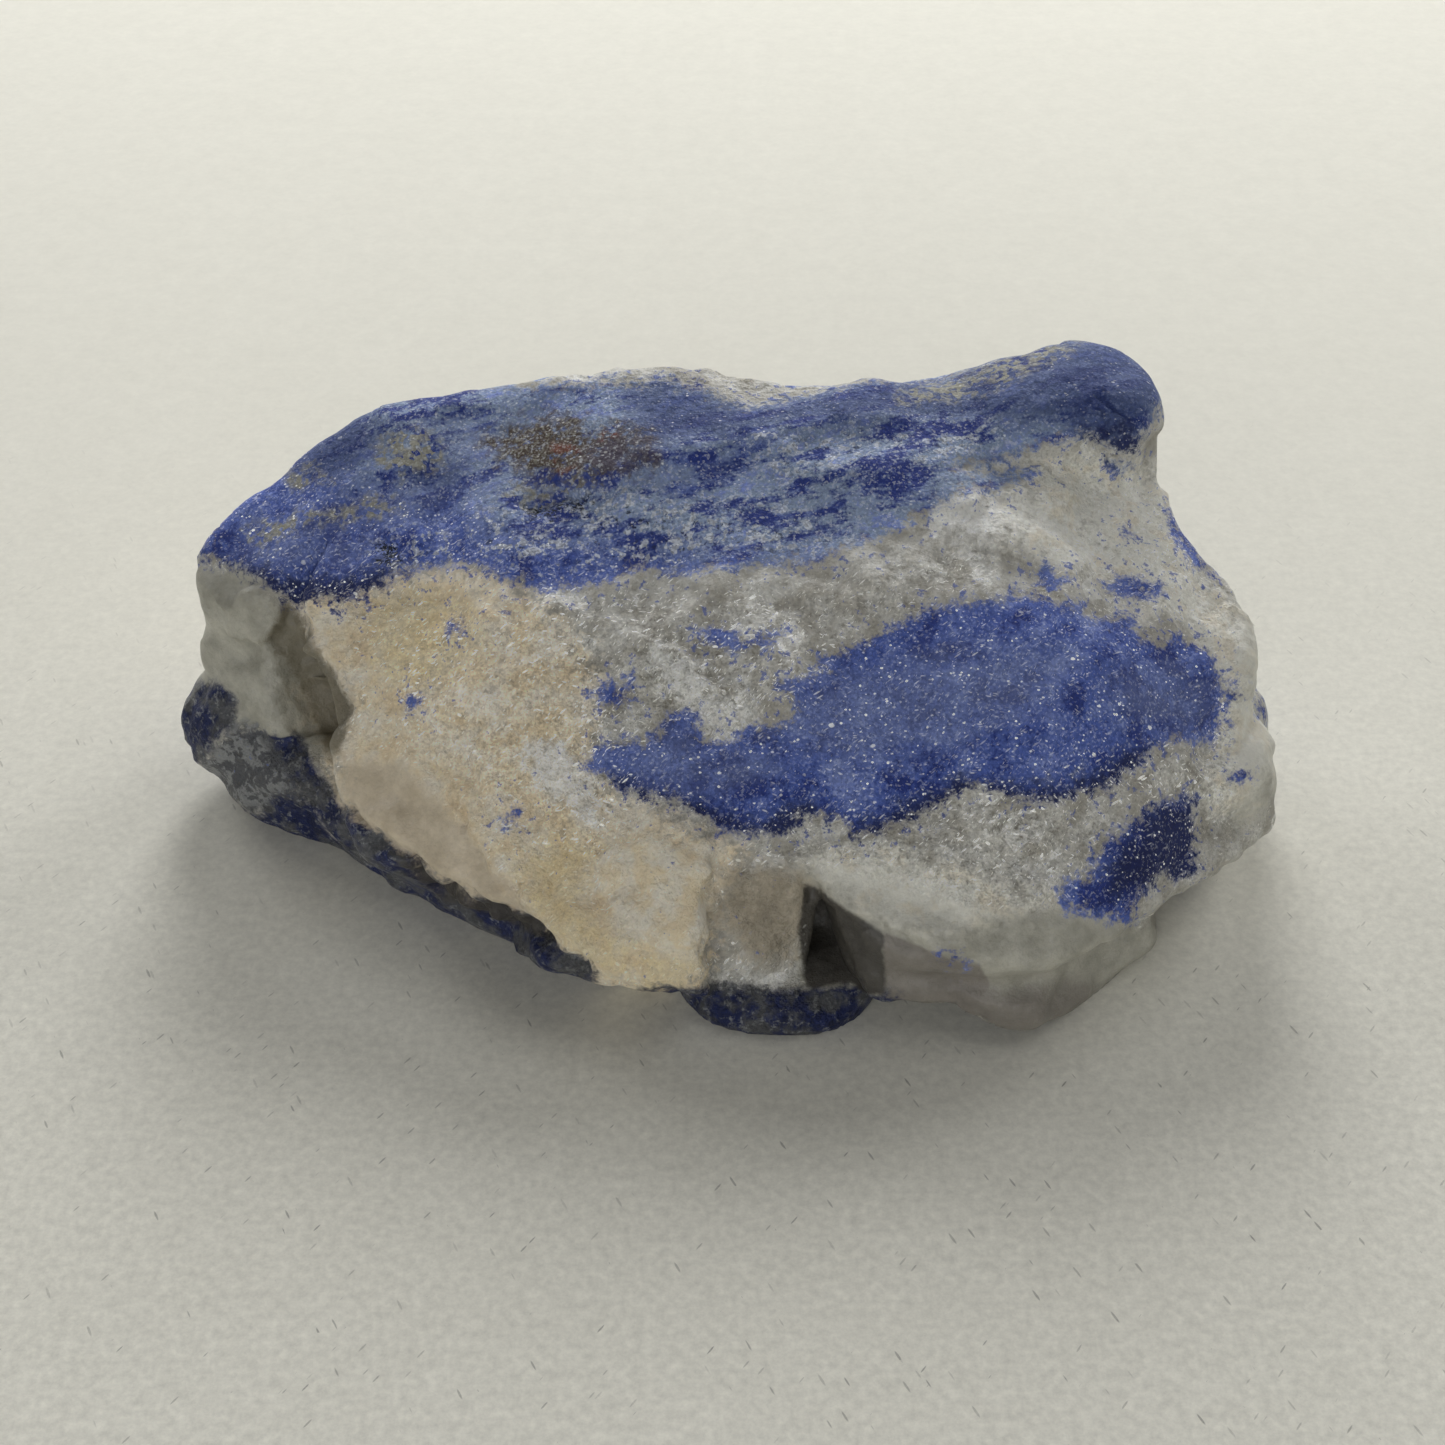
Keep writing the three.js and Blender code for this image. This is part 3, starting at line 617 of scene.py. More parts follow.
# Plates: an outline, how far it stands out or lies back, and the width of its edge
PLATES = [
    ([(226, 598), (240, 588), (262, 588), (284, 616), (282, 630), (264, 650), (244, 640),
      (232, 618)], 0.40, 0.35),
    ([(284, 662), (300, 652), (320, 654), (336, 682), (352, 700), (346, 726), (330, 738), (312, 730),
      (298, 700)], -0.55, 0.5),
    ([(266, 650), (286, 618), (292, 602), (302, 614), (310, 640), (303, 650), (284, 660)], -0.45, 0.4),
    ([(590, 867), (617, 847), (661, 843), (705, 865), (714, 893), (706, 930), (690, 955), (660, 943),
      (622, 915)], 0.40, 0.6),
    ([(645, 643), (668, 648), (696, 672), (709, 690), (692, 702), (663, 686)], 0.45, 0.35),
    ([(698, 676), (752, 693), (758, 716), (732, 732), (712, 741), (698, 712)], 0.35, 0.35),
    ([(545, 742), (572, 752), (600, 790), (606, 826), (580, 822), (556, 780)], 0.25, 0.4),
    ([(1040, 400), (1075, 330), (1130, 320), (1175, 370), (1163, 408), (1140, 456), (1110, 448), (1084, 437),
      (1050, 444)], 0.25, 0.40),
    ([(170, 560), (190, 500), (290, 415), (430, 415), (420, 560), (378, 592), (350, 605), (296, 608),
      (270, 588), (246, 574), (205, 562)], 0.35, 0.5),
    ([(1200, 620), (1236, 604), (1260, 640), (1254, 684), (1236, 676)], 0.30, 0.5),
    ([(740, 452), (840, 430), (960, 418), (1040, 430), (960, 462), (860, 480), (760, 476)], 0.20, 0.5),
]
# Grooves: a line, its depth and its width
GROOVES = [
    ([(1080, 432), (1098, 444), (1110, 448), (1124, 454), (1142, 454)], 0.55, 0.25),
    ([(1090, 398), (1112, 408), (1140, 417)], 0.35, 0.25),
    ([(1082, 402), (1100, 420), (1114, 438)], 0.30, 0.22),
    ([(345, 806), (374, 833), (416, 873), (460, 898), (510, 911), (539, 927), (564, 950),
      (598, 974)], 0.75, 0.35),
    ([(715, 880), (713, 920), (706, 960), (700, 992)], 0.45, 0.25),
    ([(796, 862), (826, 896)], 0.40, 0.30),
    ([(520, 508), (548, 500), (570, 494), (600, 492)], 0.45, 0.35),
    ([(378, 552), (398, 550), (412, 560)], 0.40, 0.35),
    ([(380, 700), (420, 760), (455, 800), (470, 840)], 0.22, 0.30),
]


def mesh_object(name, points, quads):
    """A smooth-shaded object of four-sided faces, from points in millimetres."""
    mesh = bpy.data.meshes.new(name)
    mesh.vertices.add(len(points))
    mesh.vertices.foreach_set("co", (points * 0.001).astype(np.float32).ravel())
    mesh.loops.add(quads.size)
    mesh.loops.foreach_set("vertex_index", quads.astype(np.int32).ravel())
    mesh.polygons.add(len(quads))
    mesh.polygons.foreach_set("loop_start", np.arange(0, quads.size, 4, dtype=np.int32))
    mesh.update(calc_edges=True)
    mesh.validate()
    mesh.shade_smooth()
    obj = bpy.data.objects.new(name, mesh)
    bpy.context.collection.objects.link(obj)
    return obj


def give(obj, name, values):
    """Stores a value for each point, which the material reads by that name."""
    attribute = obj.data.attributes.new(name, "FLOAT", "POINT")
    attribute.data.foreach_set("value", np.asarray(values, np.float32))


# ---- Build the stone: its colour zones and its relief, all in millimetres
DEEPEST = 3  # depths in a zone are kept within this, in and out
SEEN_FROM, SEEN_OVER = -0.35, 0.3  # a point counts as seen as its face turns to the camera
STREAKED_FROM, STREAKED_OVER = 18, 2  # the blue is streaked from this height up
GROUND_FADE, GROUND_SNAP = 0.8, 0.12  # relief fades this near the ground; lower points lie on it
WANDER = 0.35  # how far the lines of the steps, plates and grooves wander
STEP_END, GROOVE_END = 1.2, 0.8  # they fade out over this length at each end
# The hidden sides are blue at the top, in a band that rises to the right, at the foot and in two lumps,
# with the blue-grey layer below them and cream at the left
BLUE_FROM, BLUE_FOOT, LAYER_BELOW, LAYER_DEEPEST = 20.3, 1.6, 2.4, 2
BAND_SLOPE, BAND_HEIGHT, BAND_HALF = 0.28, 10, 1.5
CREAM_LEFT_OF, CREAM_SLOPE, CREAM_DEEPEST = -12, 0.3, 1.5
HORN_BACK = (21, 14, 22), (6, 5, 4), 0, 2
KNOB_BACK = (-27, 7, 3), (4, 5, 4), 0, 2
# the notch's hidden inside, which gets the painted shade too
NOTCH_INSIDE = (6.2, -11, 4.5), (2.2, 3.8, 2.8), 0, 2.4
# Grains of the broken faces, coarse to fine: height, size, number, how sharp their steps are
COARSE, MIDDLING, FINE = (0.42, 4.6, 1, 7.0), (0.34, 2.5, 2, 14), (0.17, 1.15, 3, 12)


def hidden_blue(p):
    """The depth in the blue on the sides that the photo doesn't show."""
    off_band = p[:, 2] - BAND_SLOPE * p[:, 0] - BAND_HEIGHT + 0.9 * swell(0.5 * p, 21)
    return np.maximum.reduce([
        p[:, 2] - BLUE_FROM + 0.5 * swell(p, 3),
        BAND_HALF + 1.1 * swell(p, 9) - np.abs(off_band),
        BLUE_FOOT - p[:, 2] + 1.2 * swell(p, 5),
        -lump(p, *HORN_BACK),
        -lump(p, *KNOB_BACK)])


def hidden_cream(p):
    """How far the cream's depth rises there from its lowest."""
    return DEEPEST + np.clip(CREAM_SLOPE * (CREAM_LEFT_OF - p[:, 0]) + swell(p, 14), -DEEPEST, CREAM_DEEPEST)


def colour_depths(p, xy, seen):
    """How deep each point is in each zone: as outlined where the camera sees it, and by rules elsewhere."""
    depths = {name: seen * np.clip(zones_depth(xy, outlines), -DEEPEST, DEEPEST) + (1 - seen) * -DEEPEST
              for name, outlines in ZONES.items()}
    depths["cream"] += (1 - seen) * hidden_cream(p)
    # painted shade fills the inside of the notch as well
    depths["dark"] = np.maximum(depths["dark"], -lump(p, *NOTCH_INSIDE))
    blue = seen * zones_depth(xy, BLUE_ZONES) + (1 - seen) * np.clip(hidden_blue(p), -DEEPEST, DEEPEST)
    hidden_layer = np.minimum(LAYER_BELOW - p[:, 2], LAYER_DEEPEST)
    layer = seen * zones_depth(xy, LAYER_ZONES) + (1 - seen) * hidden_layer
    depths["blue"] = np.clip(blue, -DEEPEST, DEEPEST)
    depths["layer"] = np.clip(layer, -DEEPEST, DEEPEST)
    return depths


def marks(p, xy):
    """The height of the steps, plates and grooves."""
    wander = xy + UNITS * WANDER * np.stack([swell(p * 4, 31), swell(p * 4, 32)], -1)
    total = 0
    for line, rise, width, reach in STEPS:
        d, side, along, length = line_distance(wander, line)
        d = np.where(side > 0, d, 0)
        total = total + (rise * ease(d / width) * (1 - ease((d - width) / reach))
                         * ease(along / STEP_END) * ease((length - along) / STEP_END))
    for outline, rise, width in PLATES:
        total = total + rise * ease(0.5 + zone_depth(wander, outline) / width)
    for line, depth, width in GROOVES:
        d, _, along, length = line_distance(wander, line)
        total = total - (depth * np.exp(-(d / width) ** 2)
                         * ease(along / GROOVE_END) * ease((length - along) / GROOVE_END))
    return total


def relief(p, xy, seen, depths):
    """How far the grain and the marks lift each point; the blue and the waxy faces are smoother."""
    rough = ease(0.5 - depths["blue"] / 1.2)
    waxen = ease(0.5 + depths["waxy"])
    lift = COARSE[0] * grains(p, *COARSE[1:])
    lift += MIDDLING[0] * grains(p, *MIDDLING[1:]) * (0.25 + 0.75 * rough)
    lift += FINE[0] * grains(p, *FINE[1:]) * (0.2 + 0.8 * rough) * (1 - 0.7 * waxen)
    lift += seen * marks(p, xy)
    return lift * np.clip(p[:, 2] / GROUND_FADE, 0, 1)


corners = sample_near_surface()
fill_pinches(corners)
points, quads = surface(corners)
points, facing = settle(points)
in_picture = picture(points)
seen = ease((facing @ TO_CAMERA - SEEN_FROM) / SEEN_OVER)
depths = colour_depths(points, in_picture, seen)
points = points + facing * relief(points, in_picture, seen, depths)[:, None]
points[:, 2] = np.where(points[:, 2] < GROUND_SNAP, 0, points[:, 2])

stone = mesh_object("stone_surface", points - MIDDLE, quads)
for name, values in depths.items():
    give(stone, name, values)
give(stone, "streaked", ease((points[:, 2] - STREAKED_FROM) / STREAKED_OVER))
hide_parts("stone")
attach(stone, "root")


# ---- The stone's material
NEEDLE_FLATNESS, NEEDLE_RADIUS = 5.5, 0.38  # of the cells that needles are cut from


class Graph:
    """Short names for the nodes of one material."""

    def __init__(self, name):
        self.material = bpy.data.materials.new(name)
        self.material.use_nodes = True
        self.tree = self.material.node_tree
        self.tree.nodes.clear()

    def node(self, kind, inputs=(), **settings):
        n = self.tree.nodes.new(kind)
        for key, value in settings.items():
            setattr(n, key, value)
        for key, value in dict(inputs).items():
            if isinstance(value, bpy.types.NodeSocket):
                self.tree.links.new(value, n.inputs[key])
            else:
                n.inputs[key].default_value = value
        return n

    def math(self, operation, a, b=0.0, c=0.0):
        return self.node("ShaderNodeMath", {0: a, 1: b, 2: c}, operation=operation).outputs[0]

    def add(self, a, b):
        return self.math("ADD", a, b)

    def times(self, a, b):
        return self.math("MULTIPLY", a, b)

    def linear(self, value, slope, base):
        """base + slope * value"""
        return self.math("MULTIPLY_ADD", value, slope, base)

    def rest(self, factor):
        """What the factor leaves of 1."""
        return self.math("SUBTRACT", 1.0, factor)

    def most(self, a, b):
        return self.math("MAXIMUM", a, b)

    def step(self, value, low, high):
        """0 at low, 1 at high, and smooth between; low may be the larger."""
        return self.node("ShaderNodeMapRange", {0: value, 1: low, 2: high},
                         interpolation_type="SMOOTHSTEP").outputs[0]

    def place(self):
        """The position in millimetres, from the object's origin."""
        metres = self.node("ShaderNodeTexCoord").outputs["Object"]
        return self.vector("SCALE", {0: metres, 3: 1000.0})

    def attribute(self, name):
        return self.node("ShaderNodeAttribute", attribute_name=name).outputs["Fac"]

    def vector(self, operation, inputs, output=0):
        return self.node("ShaderNodeVectorMath", inputs, operation=operation).outputs[output]

    def scaled(self, vector, scale):
        return self.vector("MULTIPLY", {0: vector, 1: scale})

    def turned(self, vector, angles):
        return self.node("ShaderNodeVectorRotate", {"Vector": vector, "Rotation": angles},
                         rotation_type="EULER_XYZ").outputs[0]

    def noise(self, vector, size, detail=3.0, roughness=0.55):
        """Noise of about 0 to 1 with features of that size in millimetres."""
        return self.node("ShaderNodeTexNoise", {"Vector": vector, "Scale": 1 / size, "Detail": detail,
                                                "Roughness": roughness}).outputs[0]

    def wobble(self, value, noise, amount):
        """The value moved by up to about that amount either way."""
        return self.linear(self.add(noise, -0.5), 2 * amount, value)

    def centred(self, value, amount):
        """A factor about 1 that follows the value's swing about a half."""
        return self.linear(self.add(value, -0.5), amount, 1.0)

    def facets(self, vector, size):
        """A random number for each grain of that size, and the height of its own tilted face."""
        cells = self.node("ShaderNodeTexVoronoi", {"Vector": vector, "Scale": 1 / size})
        number = self.node("ShaderNodeSeparateColor", {0: cells.outputs["Color"]}).outputs[0]
        offset = self.vector("SUBTRACT", {0: vector, 1: cells.outputs["Position"]})
        tilt = self.vector("SUBTRACT", {0: cells.outputs["Color"], 1: (0.5, 0.5, 0.5)})
        return number, self.vector("DOT_PRODUCT", {0: offset, 1: tilt}, "Value")

    def specks(self, vector, size, share, radius):
        """Round specks of mixed sizes in that share of the cells of that size; the radius is in cells."""
        cells = self.node("ShaderNodeTexVoronoi", {"Vector": vector, "Scale": 1 / size})
        parts = self.node("ShaderNodeSeparateColor", {0: cells.outputs["Color"]})
        reach = self.linear(parts.outputs[2], radius, 0.25 * radius)
        core = self.step(self.math("DIVIDE", cells.outputs["Distance"], reach), 1.0, 0.6)
        chosen = self.math("LESS_THAN", parts.outputs[1], share)
        return self.times(core, self.times(chosen, self.linear(parts.outputs[0], 0.7, 0.3)))

    def needles(self, vector, angles, size, share):
        """Thin short lines, where flat cells turned to those angles meet the surface."""
        flattened = self.scaled(self.turned(vector, angles), (1, NEEDLE_FLATNESS, 1))
        return self.specks(flattened, size, share, NEEDLE_RADIUS)

    def jitter(self, vector, size, amount):
        """The position moved about by noise of that size."""
        noise = self.node("ShaderNodeTexNoise", {"Vector": vector, "Scale": 1 / size, "Detail": 1.0})
        swing = self.vector("SUBTRACT", {0: noise.outputs["Color"], 1: (0.5, 0.5, 0.5)})
        return self.vector("ADD", {0: vector, 1: self.vector("SCALE", {0: swing, 3: 2 * amount})})

    def mix(self, factor, a, b):
        """Colour a where the factor is 0, and b where it is 1."""
        n = self.node("ShaderNodeMix", data_type="RGBA")
        for index, value in ((0, factor), (6, a), (7, b)):
            if isinstance(value, bpy.types.NodeSocket):
                self.tree.links.new(value, n.inputs[index])
            else:
                n.inputs[index].default_value = value if index == 0 else (*value, 1)
        return n.outputs[2]

    def shade(self, colour, factor):
        """The colour made brighter or darker by the factor."""
        return self.vector("SCALE", {0: colour, 3: factor})

    def cover(self, obj, inputs):
        """Ends the material in a surface with those inputs, and gives it to the object."""
        shader = self.node("ShaderNodeBsdfPrincipled", inputs)
        self.node("ShaderNodeOutputMaterial", {"Surface": shader.outputs[0]})
        obj.data.materials.append(self.material)


QUARTZ = (0.68, 0.67, 0.62)
QUARTZ_DULL = (0.46, 0.44, 0.385)
QUARTZ_WHITE = (0.97, 0.97, 0.93)
MILKY = (0.97, 0.96, 0.87)
MILKY_TAN = (0.88, 0.82, 0.68)
CREAM = (0.94, 0.80, 0.57)
CREAM_PALE = (0.98, 0.90, 0.75)
CREAM_DEEP = (0.68, 0.52, 0.32)
YELLOW = (0.82, 0.66, 0.33)
WAX = (0.41, 0.40, 0.335)
WAX_TAN = (0.58, 0.50, 0.375)
OLIVE = (0.20, 0.18, 0.13)
BROWN = (0.46, 0.40, 0.30)
UMBER = (0.25, 0.228, 0.20)
SLATE = (0.115, 0.12, 0.13)
SLATE_PALE = (0.30, 0.31, 0.31)
BLUE = (0.082, 0.137, 0.47)
BLUE_PALE = (0.20, 0.27, 0.62)
BLUE_DEEP = (0.020, 0.043, 0.25)
BLUE_DUSTY = (0.29, 0.37, 0.52)
BLUE_DARK = (0.030, 0.055, 0.19)
BLUE_HAZE = (0.24, 0.30, 0.54)
BLUE_INK = (0.010, 0.020, 0.095)
NAVY = (0.006, 0.013, 0.085)
RUST_BROWN = (0.085, 0.060, 0.045)
RUST_PURPLE = (0.085, 0.075, 0.13)
RUST_RED = (0.22, 0.050, 0.030)
TAN = (0.34, 0.335, 0.28)
GRAIN_PALE = (0.56, 0.59, 0.64)
# painted shade: the near-black of the pits
PIT_SHADE = (0.012, 0.018, 0.028)
# painted highlight: the colour of the painted glints, brighter than white
PAINTED_GLINT = (2.0, 2.0, 1.9)

PAPER = (0.75, 0.735, 0.65)
PAPER_PALE = (0.785, 0.77, 0.685)

FIBRE_BEARING = -13  # degrees: how the streaks in the blue run

g = Graph("stone")
at = g.place()
along_fibres = g.scaled(g.turned(at, (0, 0, math.radians(FIBRE_BEARING))), (0.28, 1.0, 1.0))

# noises and grains, by size in millimetres
big = g.noise(at, 5.0, 3.0)
mid = g.noise(at, 1.6, 5.0, 0.6)
small = g.noise(at, 0.5, 4.0, 0.65)
tiny = g.noise(at, 0.15, 3.0, 0.6)
streak = g.noise(along_fibres, 1.1, 5.0, 0.62)
crystal = g.facets(at, 1.15)[0]
grit, grit_height = g.facets(g.jitter(at, 0.3, 0.10), 0.34)
dust, dust_height = g.facets(at, 0.13)
top = g.attribute("streaked")


def patchy(name, reach=0.5, soft=0.3):
    """A zone's mask. Its edge is broken up by about reach and fades over soft, in millimetres."""
    depth = g.wobble(g.wobble(g.attribute(name), mid, 1.4 * reach), small, 1.4 * reach)
    return g.step(g.wobble(depth, grit, 0.3 * reach), -soft, soft)


def blotch(noise, low, high, mask):
    """The mask where the noise is past low, in full from high."""
    return g.times(g.step(noise, low, high), mask)


# quartz: grey to dull, with pale crystals; cream on the left; smooth and waxy on the broken sides
waxy = patchy("waxy", 0.5, 0.6)
cream = patchy("cream", 1.2, 1.0)
quartz = g.mix(g.step(mid, 0.38, 0.60), QUARTZ_DULL, QUARTZ)
pale_crystals = blotch(g.wobble(crystal, small, 0.5), 0.66, 0.90, g.times(g.step(big, 0.44, 0.62), 0.6))
quartz = g.mix(pale_crystals, quartz, QUARTZ_WHITE)
cream_colour = g.mix(g.step(mid, 0.38, 0.64), CREAM, CREAM_PALE)
cream_colour = g.mix(g.times(g.step(mid, 0.46, 0.34), 0.35), cream_colour, CREAM_DEEP)
quartz = g.mix(cream, quartz, cream_colour)
quartz = g.mix(g.times(patchy("yellow", 1.0, 1.0), 0.5), quartz, YELLOW)
quartz = g.mix(g.times(patchy("pale", 0.7, 0.5), 0.7), quartz, QUARTZ_WHITE)
wax = g.shade(g.mix(cream, WAX, WAX_TAN), g.times(g.centred(mid, 1.1), g.centred(streak, 0.4)))
quartz = g.mix(g.times(waxy, 0.85), quartz, wax)
milky = patchy("milky", 0.6, 1.0)
milky_colour = g.mix(g.step(mid, 0.48, 0.64), MILKY, MILKY_TAN)
quartz = g.mix(g.times(milky, g.linear(waxy, -0.3, 0.9)), quartz, milky_colour)
lump_mask = patchy("lump", 0.3, 0.5)
quartz = g.mix(g.times(lump_mask, 0.8), quartz, g.mix(g.step(mid, 0.40, 0.60), CREAM, CREAM_PALE))
quartz = g.mix(g.times(patchy("brown", 0.6, 0.8), 0.85), quartz, g.shade(BROWN, g.centred(mid, 1.2)))
# the lobe's steep facet and tip: umber, partly brown quartz and partly painted shade on faces turned down
# from the light
quartz = g.mix(g.times(patchy("umber", 0.10, 0.12), 0.9), quartz, g.shade(UMBER, g.centred(mid, 0.8)))
quartz = g.mix(g.times(patchy("tip", 0.5, 0.9), 0.9), quartz, g.shade(UMBER, g.centred(mid, 0.8)))
# olive faces: partly their own colour and partly painted shade
quartz = g.mix(g.times(patchy("olive", 0.3, 0.3), 0.9), quartz, OLIVE)
slate = patchy("slate", 0.7, 0.4)
quartz = g.mix(slate, quartz, g.mix(g.step(g.wobble(mid, small, 0.5), 0.46, 0.58), SLATE, SLATE_PALE))

# its grains: each of its own tone, with dark gaps that are partly their brownish colour and partly painted
# shade between the grains, strongest where it is sugary and fading where it is waxy
sugar = g.linear(patchy("sugary", 1.0, 1.2), 0.60, 0.40)
sugar = g.times(sugar, g.rest(g.times(g.most(waxy, lump_mask), 0.6)))
grains_tone = g.times(g.centred(grit, 0.26), g.centred(small, 0.9))
grains_tone = g.times(grains_tone, g.times(g.centred(dust, 0.30), g.centred(tiny, 0.6)))
quartz = g.shade(quartz, g.math("POWER", grains_tone, sugar))
# the gaps: dark olive, partly the colour between the grains and partly painted shade
gaps = blotch(small, 0.43, 0.36, g.step(tiny, 0.56, 0.44))
gaps = g.times(gaps, g.times(sugar, g.linear(cream, -0.35, 0.5)))
quartz = g.mix(gaps, quartz, OLIVE)

# small blue flecks in the quartz, thickest beside the blue
near_blue = g.step(g.attribute("blue"), -2.6, -0.2)
fleck = g.linear(near_blue, 0.11, g.wobble(small, tiny, 0.10))
fleck = g.times(g.step(fleck, 0.66, 0.74), g.math("SUBTRACT", 0.75, g.times(waxy, 0.7)))
quartz = g.mix(fleck, quartz, BLUE)

# dumortierite: fine blue grains, hazy in places, darkest along its lower edges
tone = g.linear(g.add(small, -0.5), 0.9, 0.5)
tone = g.linear(g.add(tiny, -0.5), 0.5, tone)
tone = g.linear(g.add(mid, -0.5), g.linear(top, -1.1, 2.0), tone)
tone = g.linear(g.add(big, -0.5), g.linear(top, -0.6, 1.2), tone)
tone = g.linear(g.add(streak, -0.5), g.times(top, 2.0), tone)
blue = g.mix(g.times(top, g.step(streak, 0.30, 0.56)), BLUE, BLUE_DUSTY)
blue = g.mix(g.step(tone, 0.55, 0.95), blue, BLUE_PALE)
blue = g.mix(g.step(tone, 0.56, 0.20), blue, BLUE_DEEP)
haze = g.step(g.wobble(g.wobble(g.attribute("haze"), streak, 1.8), small, 1.0), -1.0, 1.8)
blue = g.mix(g.times(haze, 0.45), blue, BLUE_HAZE)
deep = g.step(g.wobble(g.wobble(g.attribute("deep"), mid, 1.2), streak, 1.5), -1.0, 1.0)
blue = g.mix(g.times(deep, 0.8), blue, g.shade(BLUE_DARK, g.centred(streak, 1.2)))
# navy along the lower edges of the blue, and painted shade in the crease under the horn's cap
rim = g.step(g.wobble(g.wobble(g.attribute("rim"), mid, 1.2), small, 1.4), -0.9, 0.7)
blue = g.mix(g.times(rim, 0.93), blue, NAVY)
tan_grains = g.times(patchy("tan", 0.8, 0.6), g.step(g.wobble(grit, small, 0.8), 0.1, 0.7))
blue = g.mix(tan_grains, blue, TAN)
flecked = g.times(patchy("flecked", 1.0, 1.0), g.step(streak, 0.38, 0.52))
pale_grain = g.linear(flecked, 0.25, g.wobble(grit, small, 1.6))
pale_grain = blotch(pale_grain, 0.85, 1.05, g.times(flecked, 0.8))
blue = g.mix(pale_grain, blue, g.shade(GRAIN_PALE, g.centred(dust, 0.7)))
# painted shade in the pits between the pale grains
blue = g.mix(g.times(flecked, blotch(small, 0.42, 0.36, 0.8)), blue, PIT_SHADE)
rust = patchy("rust", 1.0, 0.9)
blue = g.mix(g.times(rust, g.step(g.wobble(small, tiny, 0.2), 0.30, 0.46)), blue, RUST_BROWN)
blue = g.mix(blotch(g.wobble(small, tiny, 0.8), 0.54, 0.70, g.times(rust, 0.6)), blue, TAN)
blue = g.mix(g.times(patchy("purple", 0.8, 0.8), 0.7), blue, RUST_PURPLE)
blue = g.mix(g.times(patchy("red", 0.4, 0.3), g.times(g.step(small, 0.42, 0.56), 0.7)), blue, RUST_RED)
# painted shade in the pits on the top
blue = g.mix(g.times(patchy("pits", 0.9, 0.4), g.step(g.wobble(small, tiny, 0.5), 0.56, 0.46)), blue, PIT_SHADE)
blue = g.shade(blue, g.times(g.centred(dust, 0.35), g.centred(tiny, 0.7)))
frost = blotch(g.wobble(dust, tiny, 0.5), 0.80, 1.0, g.linear(deep, -0.5, 0.6))
blue = g.mix(g.times(frost, g.linear(top, 0.5, 0.5)), blue, GRAIN_PALE)

blue_depth = g.wobble(g.wobble(g.wobble(g.attribute("blue"), small, 1.3), tiny, 0.5), mid, 0.6)
blue_mask = g.step(blue_depth, -0.40, 0.40)
colour = g.mix(blue_mask, quartz, blue)

# the blue-grey layer along the ground
layer = g.step(g.wobble(g.wobble(g.attribute("layer"), mid, 0.8), small, 0.7), -0.3, 0.3)
layer_colour = g.mix(g.step(mid, 0.44, 0.60), BLUE_INK, SLATE)
layer_colour = g.mix(blotch(g.wobble(small, tiny, 0.2), 0.54, 0.68, 0.7), layer_colour, SLATE_PALE)
layer_colour = g.shade(layer_colour, g.times(g.times(g.centred(grit, 0.6), g.centred(tiny, 1.2)), 0.85))
colour = g.mix(layer, colour, layer_colour)
# painted shade: dark umber in the notch and in the crack under the cream
shadow = g.shade(UMBER, g.linear(small, 0.3, 0.08))
colour = g.mix(g.times(patchy("dark", 0.12, 0.15), 0.92), colour, shadow)

# painted highlights: glints painted into the colour, as short bright needles in the quartz and specks in the
# blue
loose = g.rest(g.most(g.most(waxy, slate), layer))
needles = g.most(g.needles(at, (0.3, 0.5, 0.2), 0.40, 0.24), g.needles(at, (1.3, -0.4, 1.1), 0.28, 0.24))
needles = g.most(needles, g.needles(at, (-0.9, 0.8, 2.3), 0.58, 0.16))
needles = g.times(needles, g.times(sugar, g.linear(g.step(big, 0.44, 0.56), 0.8, 0.6)))
broken = g.most(patchy("brown", 0.3, 0.3), patchy("umber", 0.3, 0.3))
needles = g.times(needles, g.rest(g.most(top, g.times(broken, 0.9))))
jagged = g.scaled(g.jitter(at, 0.12, 0.05), (1.0, 1.5, 1.0))
specks = g.most(g.specks(jagged, 0.26, 0.55, 0.30), g.specks(jagged, 0.62, 0.14, 0.24))
speck_share = g.most(g.linear(g.step(mid, 0.42, 0.60), 0.8, 0.3), rim)
specks = g.times(specks, g.times(g.linear(top, -0.7, 1.0), speck_share))
needles = g.times(needles, g.rest(g.times(blue_mask, 0.4)))
# where the painted glints go
painted_glint_mask = g.times(g.most(needles, g.times(specks, blue_mask)), loose)
colour = g.mix(painted_glint_mask, colour, PAINTED_GLINT)

# the surface: duller in the blue, smoother where waxy and on the glints, with a bump of fine grains
roughness = g.linear(waxy, -0.18, 0.55)
roughness = g.linear(blue_mask, 0.20, roughness)
roughness = g.linear(painted_glint_mask, -0.2, roughness)

relief_share = g.linear(g.step(g.attribute("blue"), -0.4, 0.4), -0.45, 1.0)
relief_share = g.times(relief_share, g.linear(g.step(g.attribute("waxy"), -0.6, 0.6), -0.75, 1.0))
height = g.linear(dust_height, 0.35, g.times(grit_height, 0.45))
height = g.linear(small, 0.40, height)
height = g.times(height, relief_share)
bump = g.node("ShaderNodeBump", {"Strength": 1.0, "Distance": 0.001, "Height": height})

g.cover(stone, {
    "Base Color": colour, "Roughness": roughness, "Normal": bump.outputs[0], "IOR": 1.54,
    "Subsurface Weight": g.times(g.rest(blue_mask), 0.25),
    "Subsurface Radius": (1.0, 0.9, 0.7), "Subsurface Scale": 0.0010, "Specular IOR Level": 0.35})


# ---- Floor, light and camera
LIGHT_AWAY = 0.45  # metres
ROOM_LIGHT = 0.09  # strength of the light from all round
CLIP_START = 0.005  # metres


def metres(place):
    """A place in the stone's millimetres, as Blender counts it."""
    return Vector(((np.array(place) - MIDDLE) * 0.001).tolist())


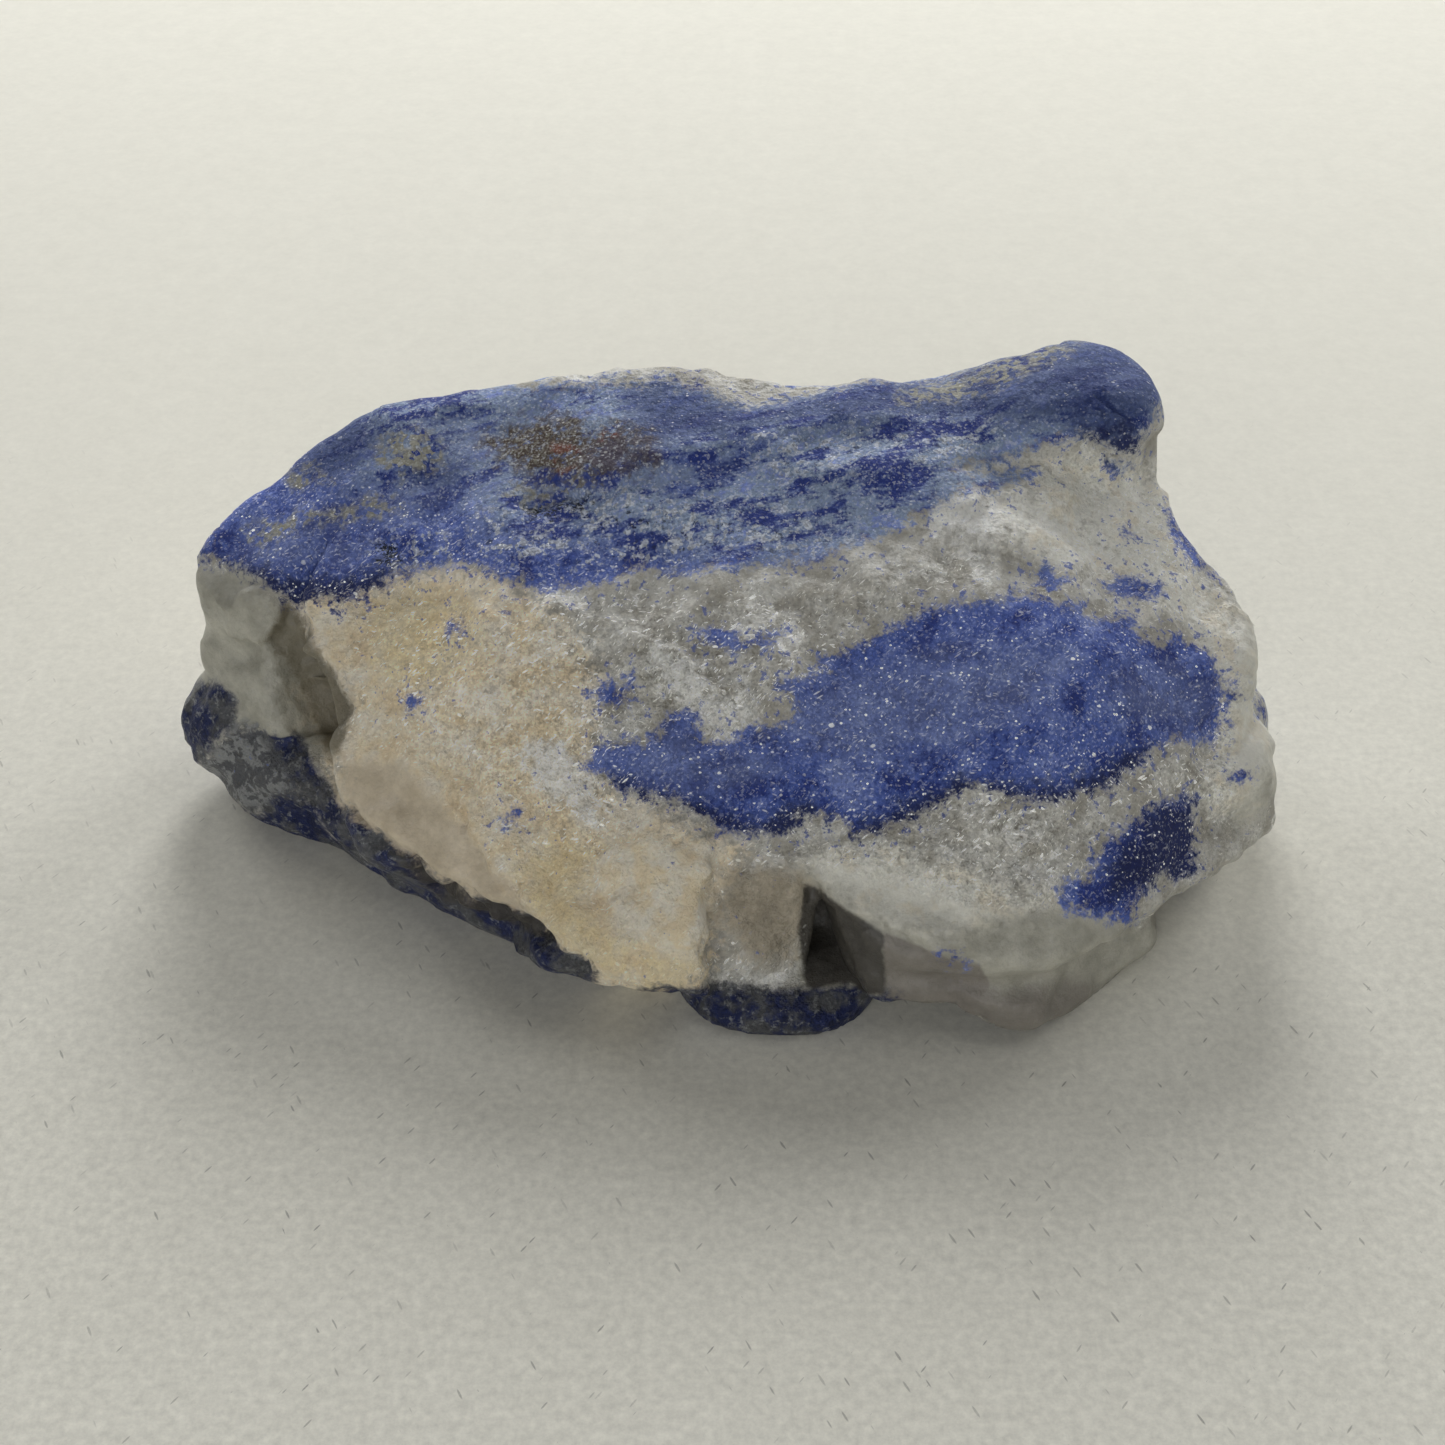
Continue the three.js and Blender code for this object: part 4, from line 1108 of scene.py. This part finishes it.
bpy.ops.mesh.primitive_plane_add(size=3, location=(0, 0, 0))
floor = bpy.context.object
floor.name = "floor"
paper = Graph("paper")
paper_at = paper.place()
paper_tone = paper.mix(paper.noise(paper_at, 6.0, 4.0), PAPER, PAPER_PALE)
near = paper.step(paper.node("ShaderNodeSeparateXYZ", {0: paper_at}).outputs[1], 60.0, -40.0)
pulp = paper.add(paper.noise(paper_at, 0.55, 4.0, 0.7), -0.5)
pulp = paper.times(pulp, paper.linear(near, 0.55, 0.12))
pulp = paper.add(pulp, paper.times(paper.add(paper.noise(paper_at, 1.6, 2.0), -0.5), 0.10))
fibres = paper.most(paper.needles(paper_at, (0, 0, 1.1), 0.9, 0.035),
                    paper.needles(paper_at, (0, 0, 2.2), 0.7, 0.03))
fibres = paper.times(fibres, paper.times(near, 0.5))
paper_tone = paper.shade(paper_tone, paper.math("SUBTRACT", paper.add(pulp, 1.0), fibres))
paper.cover(floor, {"Base Color": paper_tone, "Roughness": 0.9})


def soft_light(name, bearing, height, size, power):
    """A round light: bearing and height in degrees, size in metres, power in watts."""
    light = bpy.data.lights.new(name, "AREA")
    light.shape, light.size, light.energy = "DISK", size, power
    obj = bpy.data.objects.new(name, light)
    bpy.context.collection.objects.link(obj)
    obj.location = Vector(direction(bearing, height).tolist()) * LIGHT_AWAY
    obj.rotation_euler = obj.location.to_track_quat("Z", "Y").to_euler()


soft_light("window", 90, 31, 0.20, 1.23)
soft_light("window right", 45, 31, 0.20, 0.46)
soft_light("window left", 135, 31, 0.20, 0.40)
soft_light("lamp right", 0, 58, 0.25, 0.16)
soft_light("room in front", 257, 20, 0.40, 0.66)

world = bpy.data.worlds.new("room")
bpy.context.scene.world = world
world.use_nodes = True
background = world.node_tree.nodes["Background"]
background.inputs["Color"].default_value = (1.0, 1.0, 1.0, 1)
background.inputs["Strength"].default_value = ROOM_LIGHT

camera = bpy.data.objects.new("camera", bpy.data.cameras.new("camera"))
camera.data.lens, camera.data.sensor_width, camera.data.clip_start = LENS, SENSOR, CLIP_START
camera.location = metres(CAMERA_AT)
camera.rotation_euler = Vector(TO_CAMERA).to_track_quat("Z", "Y").to_euler()
bpy.context.collection.objects.link(camera)
bpy.context.scene.camera = camera
bpy.context.scene.view_settings.view_transform = "Standard"
